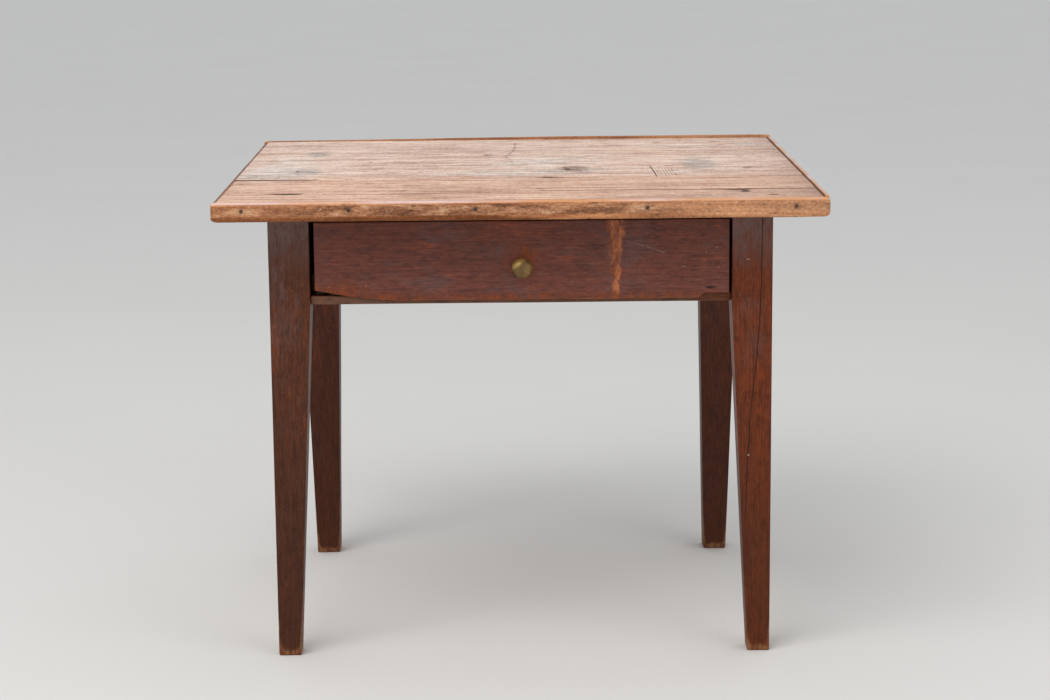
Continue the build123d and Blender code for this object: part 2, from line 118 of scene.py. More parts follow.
def planes(low, high, step, radius, stops=(), extra=()):
    """Cutting planes from low to high.

    They crowd within a radius of both ends and of each stop, and are evenly spaced
    between. The extra ones are put in as they are.
    """
    marks = sorted({low, high, *[s for s in stops if low < s < high]})
    runs = [np.asarray(extra, float)]
    for a, b in zip(marks[:-1], marks[1:]):
        near = CROWD * min(radius, (b - a) / 2.6)
        inner_a, inner_b = a + near[-1], b - near[-1]
        count = max(int(math.ceil((inner_b - inner_a) / step)), 1)
        runs += [a + near[:-1], np.linspace(inner_a, inner_b, count + 1), b - near[:-1]]
    found = np.unique(np.round(np.concatenate(runs), 6))
    return found[(found >= low - 1e-7) & (found <= high + 1e-7)]


def carve(xs, ys, zs, removed=()):
    """The closed skin of a block cut into cells by planes, less the removed boxes.

    A face lies wherever a full cell meets an empty one, wound so that it points to
    the empty side. Faces share the lattice's own points, so the skin is closed.
    """
    full = np.ones((len(xs) - 1, len(ys) - 1, len(zs) - 1), bool)
    middles = [(p[1:] + p[:-1]) / 2 for p in (xs, ys, zs)]
    for low, high in removed:
        inside = [(m > a) & (m < b) for m, a, b in zip(middles, low, high)]
        full &= ~(inside[X][:, None, None] & inside[Y][None, :, None] & inside[Z][None, None, :])
    padded = np.pad(full, 1).astype(int)
    names = np.arange(len(xs) * len(ys) * len(zs)).reshape(len(xs), len(ys), len(zs))
    face_corners = {
        X: [(0, 0, 0), (0, 1, 0), (0, 1, 1), (0, 0, 1)],
        Y: [(0, 0, 0), (0, 0, 1), (1, 0, 1), (1, 0, 0)],
        Z: [(0, 0, 0), (1, 0, 0), (1, 1, 0), (0, 1, 0)],
    }
    quads = []
    for axis in (X, Y, Z):
        inner = [slice(1, -1)] * 3
        inner[axis] = slice(None)
        change = np.diff(padded[tuple(inner)], axis=axis)
        for sign in (1, -1):
            cells = np.argwhere(change == sign)
            ring = [names[tuple((cells + np.array(c)).T)] for c in face_corners[axis]]
            quads.append(np.stack(ring[::-1] if sign > 0 else ring, axis=1))
    quads = np.concatenate(quads)
    used, quads = np.unique(quads, return_inverse=True)
    quads = quads.reshape(-1, 4)
    i, j, k = np.unravel_index(used, names.shape)
    return np.stack([xs[i], ys[j], zs[k]], axis=1), quads


def round_over(points, low, high, radius):
    """Turns the edges of a block into quarter ellipses.

    A point's reach past the core, which is the block less a radius all round, is
    scaled by its largest part over its length, counted in radii.
    """
    radius = np.atleast_1d(radius)
    radius = np.broadcast_to(radius.reshape(len(radius), -1), (len(points), 3))
    radius = np.minimum(radius, (np.asarray(high) - low) * 0.499)
    core = np.clip(points, low + radius, high - radius)
    reach = (points - core) / radius
    length = np.linalg.norm(reach, axis=1)
    scale = np.where(length > 1e-9, np.abs(reach).max(axis=1) / np.maximum(length, 1e-9), 1.0)
    return core + reach * radius * scale[:, None]


def edge_gap(points, low, high):
    """How far each surface point of a block is from the nearest edge."""
    gaps = np.minimum(points - low, high - points)
    return np.sort(gaps, axis=1)[:, 1]


def outward(points, quads):
    """Unit normals at the points: the sum of the cross products of the faces' diagonals."""
    a, b, c, d = (points[quads[:, i]] for i in range(4))
    face = np.cross(c - a, d - b)
    order = quads.ravel()
    sums = [np.bincount(order, np.repeat(face[:, i], 4), len(points)) for i in range(3)]
    normal = np.stack(sums, axis=1)
    return normal / np.maximum(np.linalg.norm(normal, axis=1, keepdims=True), 1e-12)


def rub(points, quads, depth, size, seed):
    """Wears the faces down unevenly, by up to depth, in waves of the given size."""
    loss = depth * (0.5 + 0.5 * rough_noise(points, size, seed))
    return points - outward(points, quads) * loss[:, None]


def rings(points, axis, pith, spacing, seed, wander=0.012):
    """Year rings, counted outwards from the pith.

    The pith is a line along the grain through the two other coordinates given, and
    wanders by a slow noise. The count is the distance from it over the ring width.
    """
    others = [i for i in (X, Y, Z) if i != axis]
    size = np.full(3, 0.22)
    size[axis] = 0.55
    offsets = []
    for n, other in enumerate(others):
        drift = wander * grid_noise(points, size, seed + n)
        offsets.append(points[:, other] - pith[n] - drift)
    fine = np.full(3, 0.02)
    fine[axis] = 0.12
    return np.hypot(*offsets) / spacing + 0.35 * grid_noise(points, fine, seed + 5)


def make_piece(name, points, quads, material, body, nodes=(), fields=None):
    """Puts the arrays into a mesh that rides on a body, and hides the parts it replaces."""
    mesh = bpy.data.meshes.new(name)
    mesh.vertices.add(len(points))
    mesh.vertices.foreach_set("co", np.ascontiguousarray(points, dtype=np.float32).ravel())
    mesh.loops.add(quads.size)
    mesh.loops.foreach_set("vertex_index", np.ascontiguousarray(quads, dtype=np.int32).ravel())
    mesh.polygons.add(len(quads))
    mesh.polygons.foreach_set("loop_start", np.arange(0, quads.size, 4, dtype=np.int32))
    mesh.update(calc_edges=True)
    for key, values in (fields or {}).items():
        layer = mesh.attributes.new(key, "FLOAT", "POINT")
        values = np.broadcast_to(np.asarray(values, dtype=np.float32), len(points))
        layer.data.foreach_set("value", np.ascontiguousarray(values))
    mesh.shade_smooth()
    piece = bpy.data.objects.new(name, mesh)
    bpy.context.scene.collection.objects.link(piece)
    mesh.materials.append(material)
    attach(piece, body)
    if nodes:
        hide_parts(*nodes)


# ------------------------------------------------------------------ finishes


class Finish:
    """One material, laid out by short calls that each give back a socket."""

    def __init__(self, name):
        self.material = bpy.data.materials.new(name)
        self.material.use_nodes = True
        self.tree = self.material.node_tree
        self.tree.nodes.clear()
        self.shader = self.add("ShaderNodeBsdfPrincipled")
        out = self.add("ShaderNodeOutputMaterial")
        self.tree.links.new(self.shader.outputs[0], out.inputs["Surface"])
        self.place = self.add("ShaderNodeTexCoord").outputs["Object"]

    def add(self, kind, inputs=None, **settings):
        node = self.tree.nodes.new(kind)
        for key, value in settings.items():
            setattr(node, key, value)
        for key, value in (inputs or {}).items():
            self.feed(node.inputs[key], value)
        return node

    def feed(self, socket, value):
        if isinstance(value, bpy.types.NodeSocket):
            self.tree.links.new(value, socket)
        elif socket.type == "RGBA" and len(value) == 3:
            socket.default_value = (*value, 1.0)
        else:
            socket.default_value = value

    def set(self, **values):
        """Feeds the shader's sockets, with spaces in their names written as underscores."""
        for key, value in values.items():
            self.feed(self.shader.inputs[key.replace("_", " ")], value)

    def field(self, name):
        return self.add("ShaderNodeAttribute", attribute_name=name).outputs["Fac"]

    def math(self, operation, a, b=0.0, c=0.0, clamp=False):
        node = self.add("ShaderNodeMath", {0: a, 1: b, 2: c}, operation=operation, use_clamp=clamp)
        return node.outputs[0]

    def times(self, a, b, clamp=False):
        return self.math("MULTIPLY", a, b, clamp=clamp)

    def plus(self, a, b, clamp=False):
        return self.math("ADD", a, b, clamp=clamp)

    def minus(self, a, b):
        return self.math("SUBTRACT", a, b)

    def weigh(self, a, share, rest, clamp=False):
        """a times its share, plus the rest."""
        return self.math("MULTIPLY_ADD", a, share, rest, clamp=clamp)

    def off(self, a, b):
        """How far a is from b, either way."""
        return self.math("ABSOLUTE", self.minus(a, b))

    def larger(self, a, b):
        return self.math("MAXIMUM", a, b)

    def stretch(self, vector, factors):
        node = self.add("ShaderNodeVectorMath", {0: vector, 1: factors}, operation="MULTIPLY")
        return node.outputs[0]

    def shifted(self):
        """Object coordinates moved by the piece's own lot number, so no two pieces match."""
        node = self.add("ShaderNodeVectorMath", operation="MULTIPLY_ADD")
        self.feed(node.inputs[0], self.field("lot"))
        self.feed(node.inputs[1], (1.37, 2.11, 0.73))
        self.feed(node.inputs[2], self.place)
        return node.outputs[0]

    def noise(self, vector, scale, detail=3.0, rough=0.5, twist=0.0):
        values = {
            "Vector": vector, "Scale": scale, "Detail": detail, "Roughness": rough, "Distortion": twist,
        }
        return self.add("ShaderNodeTexNoise", values).outputs["Fac"]

    def drawn(self, vector, factors, *settings):
        """Noise stretched by the given factors."""
        return self.noise(self.stretch(vector, factors), *settings)

    def ease(self, value, low, high, start=0.0, end=1.0):
        values = {0: value, 1: low, 2: high, 3: start, 4: end}
        return self.add("ShaderNodeMapRange", values, interpolation_type="SMOOTHSTEP").outputs[0]

    def ramp(self, value, stops):
        """Colours, or grey levels, at the stated places along 0 to 1."""
        node = self.add("ShaderNodeValToRGB", {"Fac": value})
        strip = node.color_ramp.elements
        while len(strip) < len(stops):
            strip.new(0.5)
        for element, (at, colour) in zip(strip, stops):
            element.position = at
            element.color = (*colour, 1.0) if isinstance(colour, tuple) else (colour, colour, colour, 1.0)
        return node.outputs["Color"]

    def mix(self, share, a, b, blend="MIX"):
        node = self.add("ShaderNodeMix", data_type="RGBA", blend_type=blend)
        self.feed(node.inputs[0], share)
        self.feed(node.inputs[6], a)
        self.feed(node.inputs[7], b)
        return node.outputs[2]

    def tint(self, colour, mask, share, tone):
        """A colour turned towards a tone where the mask is high, by up to a share."""
        return self.mix(self.times(mask, share), colour, tone)

    def shaded(self, colour, share, pattern, stops):
        """A colour made lighter or darker by a pattern, through grey levels round a half."""
        return self.mix(share, colour, self.ramp(pattern, stops), "SOFT_LIGHT")

    def split(self, vector=None):
        node = self.add("ShaderNodeSeparateXYZ", {0: vector or self.place})
        return node.outputs

    def curve(self, value, path):
        """A smooth line through the given places and heights, both from 0 to 1."""
        node = self.add("ShaderNodeFloatCurve", {"Value": value})
        points = node.mapping.curves[0].points
        while len(points) < len(path):
            points.new(0.5, 0.5)
        for point, at in zip(points, path):
            point.location = at
        node.mapping.update()
        return node.outputs[0]

    def bump(self, height, strength, distance):
        values = {"Height": height, "Strength": strength, "Distance": distance}
        self.set(Normal=self.add("ShaderNodeBump", values).outputs["Normal"])


def along(axis, value):
    """A stretch that draws a pattern out along the grain."""
    factors = [1.0, 1.0, 1.0]
    factors[axis] = value
    return tuple(factors)


def grain(f, axis, ring_share=0.35):
    """The layers that every wood is coloured from."""
    place = f.shifted()
    fibre = f.drawn(place, along(axis, 0.02), 700.0, 3.0, 0.6)
    streak = f.drawn(place, along(axis, 0.07), 130.0, 4.0, 0.6)
    broad = f.drawn(place, along(axis, 0.3), 16.0, 3.0, 0.5)
    count = f.plus(f.field("ring"), f.times(streak, ring_share))
    late = f.ramp(f.math("FRACT", count), [(0.0, 0.0), (0.45, 0.12), (0.8, 0.75), (0.93, 1.0), (1.0, 0.0)])
    return place, fibre, streak, broad, late


def pine_top():
    """Scrubbed pine: pinkish tan, greyed in patches, dark in knots, joints and pits, with painted shade
    along the rear lipping.
    """
    f = Finish("scrubbed_pine")
    place, fibre, streak, broad, late = grain(f, X)
    bands = f.drawn(place, along(X, 0.09), 42.0, 4.0, 0.65)
    torn = f.drawn(place, along(X, 0.22), 110.0, 6.0, 0.78)
    honey = f.field("honey")
    pale = f.mix(honey, (0.94, 0.710, 0.575), (0.90, 0.600, 0.425))
    deep = f.mix(honey, (0.43, 0.235, 0.155), (0.42, 0.20, 0.12))
    tone = f.weigh(streak, 0.28, f.weigh(bands, 0.34, f.times(torn, 0.38)))
    colour = f.mix(f.ease(tone, 0.40, 0.62, 0.0, 0.95), pale, deep)
    near_knot = f.weigh(f.field("knot"), 0.8, f.times(honey, 0.25))
    ring_weight = f.plus(f.ease(broad, 0.3, 0.7, 0.2, 0.6), near_knot, clamp=True)
    colour = f.mix(f.times(late, ring_weight), colour, deep)
    rosy = f.ease(f.drawn(place, along(X, 0.3), 24.0, 4.0, 0.6), 0.5, 0.7)
    colour = f.tint(colour, rosy, 0.35, (0.66, 0.36, 0.22))
    grey_edge = f.drawn(place, along(X, 0.5), 60.0, 6.0, 0.75)
    grey = f.ease(f.weigh(grey_edge, 1.1, f.field("grey")), 0.72, 1.15)
    bleached = f.mix(f.ease(torn, 0.40, 0.6), (0.86, 0.785, 0.725), (0.47, 0.375, 0.310))
    colour = f.tint(colour, grey, 0.8, bleached)
    blue = f.ease(f.weigh(grey_edge, 1.0, f.field("blue")), 0.66, 1.12)
    stain = f.mix(f.ease(torn, 0.36, 0.6), (0.52, 0.47, 0.42), (0.17, 0.14, 0.125))
    colour = f.tint(colour, blue, 0.75, stain)
    swirl = f.drawn(place, (0.55, 0.55, 1.0), 85.0, 6.0, 0.8, 1.2)
    knot = f.ease(f.weigh(swirl, 1.9, f.field("knot")), 1.22, 1.75)
    scribble = f.ease(f.weigh(late, 0.35, torn), 0.52, 0.80)
    heart = f.mix(scribble, (0.46, 0.335, 0.25), (0.060, 0.036, 0.028))
    colour = f.tint(colour, knot, 0.8, heart)
    dash = f.ease(f.drawn(place, along(X, 0.14), 105.0, 5.0, 0.8), 0.575, 0.650)
    colour = f.tint(colour, dash, 0.85, (0.22, 0.105, 0.065))
    chip = f.ease(f.drawn(place, along(X, 0.3), 190.0, 3.0, 0.7), 0.640, 0.70)
    colour = f.tint(colour, chip, 0.9, (0.11, 0.055, 0.04))
    line = f.drawn(place, along(X, 0.035), 120.0, 2.0, 0.6)
    line = f.times(f.ease(line, 0.60, 0.66), f.ease(broad, 0.42, 0.58))
    colour = f.tint(colour, line, 0.7, (0.19, 0.09, 0.06))
    x, y, z = f.split()
    wobble = f.times(f.minus(f.noise(f.place, 90.0, 4.0, 0.7), 0.5), 6 * MM)
    route = f.curve(f.plus(y, 0.4), SCRATCH)
    away = f.off(f.plus(x, 0.1), f.plus(route, wobble))
    deep_part = f.times(f.ease(y, 0.04, 0.11, 0.12, 0.85), f.ease(y, 0.285, 0.265))
    scratch = f.times(f.ease(away, 1.9 * MM, 0.5 * MM), f.times(deep_part, f.ease(torn, 0.40, 0.52)))
    colour = f.mix(scratch, colour, (0.22, 0.13, 0.10))
    worn_edge = f.times(f.field("dark"), 0.75)
    colour = f.mix(worn_edge, colour, f.mix(torn, (0.40, 0.23, 0.16), (0.24, 0.12, 0.08)))
    # Dark where the field of dirt and painted shade is high: dirt in joints, pits and scores, and painted
    # shade at the foot of the rear lipping.
    gap = f.weigh(f.minus(torn, 0.5), 1.1, f.field("dirt_and_shade"))
    dirt_and_shade = f.ease(gap, 0.32, 0.85)
    colour = f.tint(colour, dirt_and_shade, 0.9, (0.055, 0.028, 0.024))
    scuff = f.drawn(place, (1.0, 0.28, 1.0), 215.0, 5.0, 0.75)
    colour = f.shaded(colour, 0.75, scuff, [(0.32, 0.24), (0.5, 0.52), (0.68, 0.76)])
    nick = f.ease(f.drawn(place, (1.0, 0.45, 1.0), 130.0, 5.0, 0.8), 0.63, 0.70)
    colour = f.tint(colour, nick, 0.6, (0.25, 0.13, 0.085))
    coarse = f.drawn(place, along(X, 0.03), 310.0, 3.0, 0.6)
    colour = f.shaded(colour, 0.5, coarse, [(0.3, 0.22), (0.5, 0.53), (0.7, 0.78)])
    colour = f.shaded(colour, 0.5, fibre, [(0.28, 0.32), (0.5, 0.52), (0.7, 0.68)])
    upper = f.ease(z, TOP_Z - 4 * MM, TOP_Z - 2 * MM)
    raw = f.mix(f.ease(tone, 0.38, 0.66), (0.42, 0.27, 0.16), (0.26, 0.15, 0.085))
    colour = f.mix(upper, f.mix(f.times(late, 0.6), raw, (0.22, 0.12, 0.065)), colour)
    gloss = f.weigh(streak, 0.25, f.weigh(grey, 0.12, 0.36))
    hollow = f.larger(f.larger(dirt_and_shade, knot), f.larger(dash, chip))
    gloss = f.weigh(hollow, 0.4, gloss, clamp=True)
    f.set(Base_Color=colour, Roughness=gloss, Specular_IOR_Level=0.25)
    relief = f.weigh(late, 0.35, f.weigh(fibre, 0.45, f.times(torn, 0.5)))
    relief = f.minus(relief, f.plus(f.times(dash, 0.5), chip))
    f.bump(relief, 0.7, 0.8 * MM)
    return f.material


def lipping_pine():
    """Waxed pine: worn pale, with a painted highlight, on its upper edge, crusted with old dirt on its
    face, darker below.
    """
    f = Finish("waxed_lipping")
    place, fibre, streak, broad, late = grain(f, X)
    x = f.split()[X]
    colour = f.mix(f.ease(streak, 0.38, 0.64), (0.60, 0.265, 0.115), (0.34, 0.115, 0.040))
    colour = f.tint(colour, late, 0.4, (0.20, 0.07, 0.026))
    shaded = f.drawn(place, (0.35, 1.0, 1.0), 22.0, 3.0, 0.6)
    left = f.plus(f.ease(x, 0.12, -0.12, 0.0, 0.45), f.times(shaded, 1.0))
    low = f.times(f.field("under"), f.ease(left, 0.48, 0.8))
    colour = f.mix(f.times(low, 0.92), colour, f.mix(streak, (0.21, 0.062, 0.014), (0.11, 0.030, 0.010)))
    crust = f.drawn(place, (0.4, 0.4, 1.0), 130.0, 7.0, 0.78, 0.5)
    thick = f.times(f.field("patina"), f.ease(x, 0.05, 0.24, 1.0, 0.78))
    cover = f.ease(f.weigh(crust, 1.0, thick), 1.1, 1.5)
    patch = f.drawn(place, (0.25, 0.25, 1.0), 105.0, 7.0, 0.82)
    tint = f.ramp(patch, [
        (0.38, (0.095, 0.038, 0.022)), (0.45, (0.165, 0.068, 0.036)), (0.51, (0.30, 0.130, 0.065)),
        (0.57, (0.43, 0.215, 0.115)), (0.68, (0.57, 0.37, 0.225)),
    ])
    colour = f.tint(colour, cover, 0.85, tint)
    scuff = f.ease(f.drawn(place, (0.6, 0.6, 1.0), 300.0, 4.0, 0.8), 0.6, 0.7)
    colour = f.mix(f.times(f.times(scuff, cover), 0.55), colour, (0.66, 0.50, 0.36))
    colour = f.mix(f.ease(x, 0.06, 0.26, 0.0, 0.30), colour, (0.66, 0.38, 0.22))
    colour = f.mix(f.ease(x, -0.16, -0.30, 0.0, 0.22), colour, (0.50, 0.20, 0.085))
    pock = f.ease(f.drawn(place, (0.3, 0.3, 1.0), 210.0, 6.0, 0.8), 0.58, 0.65)
    colour = f.tint(colour, pock, 0.75, (0.085, 0.034, 0.018))
    grit = f.drawn(place, (0.7, 0.7, 1.0), 380.0, 4.0, 0.8)
    colour = f.shaded(colour, 0.8, grit, [(0.32, 0.22), (0.5, 0.5), (0.68, 0.80)])
    # The pale upper edge is partly rubbed wear and partly a painted highlight: the pinkish colour stands
    # for a reflection of the sky on the rounded edge, the orange for worn wood.
    edge = f.ease(f.weigh(streak, 0.5, f.field("worn")), 0.7, 1.05)
    rosy = f.plus(broad, f.ease(x, 0.05, 0.25, 0.0, 0.12))
    rubbed = f.mix(f.ease(rosy, 0.46, 0.62), (0.74, 0.53, 0.48), (0.66, 0.33, 0.17))
    colour = f.tint(colour, edge, 0.8, rubbed)
    # Near black where the field of dirt and painted shade is high: stains round the nails, painted shade
    # against the boards, and the darker outer face of the left lippings.
    dirt_and_shade = f.times(f.field("dirt_and_shade"), 0.92, clamp=True)
    colour = f.mix(dirt_and_shade, colour, (0.05, 0.024, 0.016))
    colour = f.shaded(colour, 0.5, fibre, [(0.3, 0.3), (0.5, 0.5), (0.7, 0.68)])
    gloss = f.weigh(cover, 0.22, f.weigh(streak, 0.15, 0.27))
    gloss = f.weigh(dirt_and_shade, 0.45, gloss)
    f.set(Base_Color=colour, Roughness=gloss, Specular_IOR_Level=0.15)
    relief = f.weigh(fibre, 0.3, f.weigh(crust, 0.7, f.times(pock, -0.4)))
    f.bump(relief, 0.6, 0.7 * MM)
    return f.material


REDDER = (1.9, 1.45, 1.0)


def stained(name, axis, body, glow, shade, extra=None):
    """Dark red-brown stain: its body colour, a redder glow where it is thin, and a darker shade."""
    f = Finish(name)
    place, fibre, streak, broad, late = grain(f, axis)
    mottle = f.drawn(place, along(axis, 0.35), 150.0, 6.0, 0.75)
    colour = f.mix(f.ease(broad, 0.32, 0.66), body, glow)
    colour = f.mix(f.ease(streak, 0.46, 0.66, 0.0, 0.28), colour, shade)
    colour = f.mix(f.ease(mottle, 0.47, 0.62, 0.0, 0.6), colour, shade)
    colour = f.tint(colour, late, 0.25, shade)
    ruddy = f.drawn(place, along(axis, 0.3), 52.0, 7.0, 0.8)
    red = f.times(f.ease(ruddy, 0.54, 0.70), f.ease(mottle, 0.36, 0.54))
    ruddy_glow = tuple(min(c * k, 1.0) for c, k in zip(glow, REDDER))
    colour = f.tint(colour, red, 0.7, ruddy_glow)
    # A grey haze that grows towards the top: dust, and a painted sheen where a broad reflection would lie.
    dust_and_sheen_haze = f.ease(f.drawn(place, along(axis, 0.5), 21.0, 6.0, 0.75), 0.50, 0.64)
    height = f.split()[Z]
    colour = f.mix(f.times(dust_and_sheen_haze, f.ease(height, 0.33, 0.47, 0.08, 0.42)), colour, (0.125, 0.080, 0.076))
    colour = f.shaded(colour, 0.5, fibre, [(0.28, 0.26), (0.5, 0.5), (0.72, 0.74)])
    weave = f.drawn(place, along(axis, 0.16), 480.0, 4.0, 0.75)
    colour = f.shaded(colour, 0.6, weave, [(0.32, 0.26), (0.5, 0.5), (0.68, 0.76)])
    dust = f.ease(f.noise(place, 620.0, 2.0, 0.7), 0.66, 0.72)
    colour = f.tint(colour, dust, 0.35, (0.36, 0.25, 0.20))
    rubbed = f.weigh(f.noise(place, 85.0, 5.0, 0.75), 0.8, f.field("worn"))
    worn = f.ease(rubbed, 0.82, 1.15)
    bare_wood = f.mix(f.ease(mottle, 0.42, 0.58), (0.42, 0.20, 0.085), (0.24, 0.07, 0.025))
    colour = f.tint(colour, worn, 0.8, bare_wood)
    dusty = f.ease(f.weigh(mottle, 0.9, f.field("dusty")), 0.75, 1.2)
    dust_tone = f.mix(f.ease(mottle, 0.4, 0.6), (0.30, 0.19, 0.125), (0.11, 0.060, 0.040))
    colour = f.tint(colour, dusty, 0.7, dust_tone)
    gloss = f.weigh(mottle, 0.3, f.weigh(dusty, 0.2, 0.30))
    if extra:
        colour = extra(f, place, mottle, colour)
    f.set(Base_Color=colour, Roughness=gloss, Specular_IOR_Level=0.15)
    relief = f.weigh(fibre, 0.6, f.times(mottle, 0.4))
    f.bump(relief, 0.4, 0.45 * MM)
    return f.material


def bare(name, axis):
    """Unfinished wood, aged and a little dusty."""
    f = Finish(name)
    _, fibre, streak, broad, late = grain(f, axis)
    colour = f.mix(f.ease(streak, 0.35, 0.65), (0.50, 0.32, 0.18), (0.34, 0.19, 0.10))
    colour = f.tint(colour, late, 0.5, (0.27, 0.14, 0.07))
    colour = f.mix(f.ease(broad, 0.5, 0.8, 0.0, 0.5), colour, (0.20, 0.125, 0.08))
    colour = f.shaded(colour, 0.5, fibre, [(0.3, 0.34), (0.5, 0.5), (0.7, 0.64)])
    # Grime near the edges, and painted shade where a drawer side shows behind the worn corner of the drawer
    # front.
    grime_and_shade = f.ease(f.weigh(broad, 0.5, f.field("worn")), 0.6, 1.1)
    colour = f.tint(colour, grime_and_shade, 0.8, (0.085, 0.045, 0.028))
    f.set(Base_Color=colour, Roughness=f.weigh(fibre, 0.2, 0.6), Specular_IOR_Level=0.25)
    f.bump(f.weigh(late, 0.4, fibre), 0.4, 0.5 * MM)
    return f.material


def old_brass():
    """Brass gone olive-brown in the hollows, bright where fingers rub it, and lightened by painted
    highlights.
    """
    f = Finish("old_brass")
    cloud = f.noise(f.place, 330.0, 5.0, 0.65)
    pit = f.ease(f.noise(f.place, 900.0, 3.0, 0.6), 0.6, 0.72)
    # The rubbed colour follows the worn field: wear, and painted highlights on the upper left and right
    # side of the knob.
    rubbed = f.ease(f.weigh(cloud, 0.35, f.field("worn")), 0.3, 0.95)
    tarnish = f.mix(f.ease(cloud, 0.35, 0.68), (0.150, 0.088, 0.032), (0.20, 0.120, 0.042))
    colour = f.mix(rubbed, tarnish, (0.58, 0.37, 0.125))
    colour = f.tint(colour, pit, 0.5, (0.07, 0.045, 0.022))
    f.set(Base_Color=colour, Metallic=0.6)
    f.set(Roughness=f.weigh(rubbed, -0.06, f.weigh(pit, 0.2, 0.44)))
    f.bump(f.minus(f.noise(f.place, 420.0, 3.0, 0.6), pit), 0.04, 0.1 * MM)
    return f.material


def dull_iron():
    """Old iron, nearly black, with rust blooms."""
    f = Finish("dull_iron")
    cloud = f.noise(f.place, 500.0, 4.0, 0.7)
    colour = f.mix(f.ease(cloud, 0.48, 0.62), (0.045, 0.033, 0.030), (0.14, 0.065, 0.04))
    f.set(Base_Color=colour, Metallic=0.4)
    f.set(Roughness=f.weigh(cloud, 0.3, 0.5))
    f.bump(cloud, 0.4, 0.2 * MM)
    return f.material


def near(f, x, z, at_x, at_z, wide, tall):
    """1 at a point of a face and 0 past the stated half sizes from it."""
    across = f.math("DIVIDE", f.minus(x, at_x), wide)
    upward = f.math("DIVIDE", f.minus(z, at_z), tall)
    length = f.plus(f.times(across, across), f.times(upward, upward))
    return f.ease(length, 1.0, 0.1)


STREAK_X = 0.1105
KNOB_XZ = (0.000, 0.478)
SCRATCH_START = 0.123
NOTCH_XZ = (0.222, 0.4425)
# on the right front leg: x, z in metres, half sizes in millimetres
LEG_DINGS = ((0.265, 0.475, 3.0, 0.9), (0.267, 0.241, 1.6, 1.6))
DINGS = [   # x, z, half width, half height on the drawer front, in millimetres
    (228.5, 489.0, 2.0, 0.9), (216.0, 484.3, 1.2, 1.3), (207.0, 504.0, 1.3, 0.6),
    (230.5, 466.0, 1.3, 0.8), (190.0, 467.5, 3.0, 0.6), (166.0, 484.5, 2.0, 0.5),
    (60.0, 450.5, 2.2, 0.5), (-180.5, 448.5, 1.3, 1.0), (-224.0, 447.0, 2.0, 0.5),
    (-135.0, 475.0, 1.6, 0.4),
]


def drawer_marks(f, place, mottle, colour):
    """The drawer front's own marks: a worn streak, rubbed wood by the knob, dings and a scratch."""
    x, _, z = f.split()
    torn = f.drawn(place, (1.0, 1.0, 0.4), 150.0, 6.0, 0.8)
    route = f.drawn(place, (0.0, 0.0, 1.0), 34.0, 3.0)
    middle = f.weigh(f.minus(route, 0.5), 7 * MM, STREAK_X)
    away = f.off(x, middle)
    width = f.plus(f.ease(z, 0.478, 0.505, 7.0 * MM, 11.5 * MM), f.ease(z, 0.455, 0.435, 0.0, -2.5 * MM))
    share = f.minus(1.0, f.math("DIVIDE", away, width))
    rough = f.times(f.minus(torn, 0.5), 2.2)
    bare_wood = f.ease(f.plus(share, rough), -0.05, 0.75)
    split = f.times(f.ease(away, 4.0 * MM, 1.0 * MM), f.ease(z, 0.492, 0.505, 0.0, 0.4))
    bare_wood = f.minus(bare_wood, f.times(split, bare_wood))
    orange = f.mix(f.ease(torn, 0.40, 0.62), (0.22, 0.055, 0.022), (0.52, 0.175, 0.068))
    colour = f.tint(colour, bare_wood, 0.85, orange)
    low = f.ease(z, 0.4420, 0.4325)
    patchy = f.ease(f.drawn(place, (0.3, 1.0, 1.0), 70.0, 5.0, 0.7), 0.38, 0.62, 0.4, 1.0)
    patchy = f.times(patchy, f.ease(torn, 0.34, 0.58, 0.15, 0.85))
    orange_edge = f.mix(f.ease(torn, 0.4, 0.6), (0.13, 0.030, 0.008), (0.26, 0.058, 0.012))
    colour = f.mix(f.times(low, patchy), colour, orange_edge)
    left = f.times(f.ease(x, -0.150, -0.230), f.ease(z, 0.458, 0.443))
    colour = f.mix(f.times(left, patchy), colour, orange_edge)
    halo = near(f, x, z, *KNOB_XZ, 27 * MM, 24 * MM)
    halo = f.times(halo, f.ease(torn, 0.42, 0.60))
    colour = f.tint(colour, halo, 0.9, (0.25, 0.06, 0.020))
    bend = f.math("POWER", f.minus(x, SCRATCH_START), 2.0)
    line = f.weigh(f.minus(x, SCRATCH_START), -0.31, f.weigh(bend, -0.4, 0.4985))
    thin = f.ease(f.off(z, line), 0.55 * MM, 0.1 * MM)
    span = f.times(f.ease(x, 0.121, 0.126), f.ease(x, 0.172, 0.164))
    scratch = f.times(f.times(thin, span), f.ease(torn, 0.38, 0.52))
    colour = f.tint(colour, scratch, 0.65, (0.34, 0.23, 0.18))
    for at_x, at_z, wide, tall in DINGS:
        ding = near(f, x, z, at_x * MM, at_z * MM, wide * MM, tall * MM)
        colour = f.tint(colour, ding, 0.42, (0.40, 0.29, 0.24))
    notch = near(f, x, z, *NOTCH_XZ, 9 * MM, 2.2 * MM)
    return f.mix(f.times(f.times(notch, f.ease(torn, 0.40, 0.50)), 0.9), colour, (0.02, 0.010, 0.009))


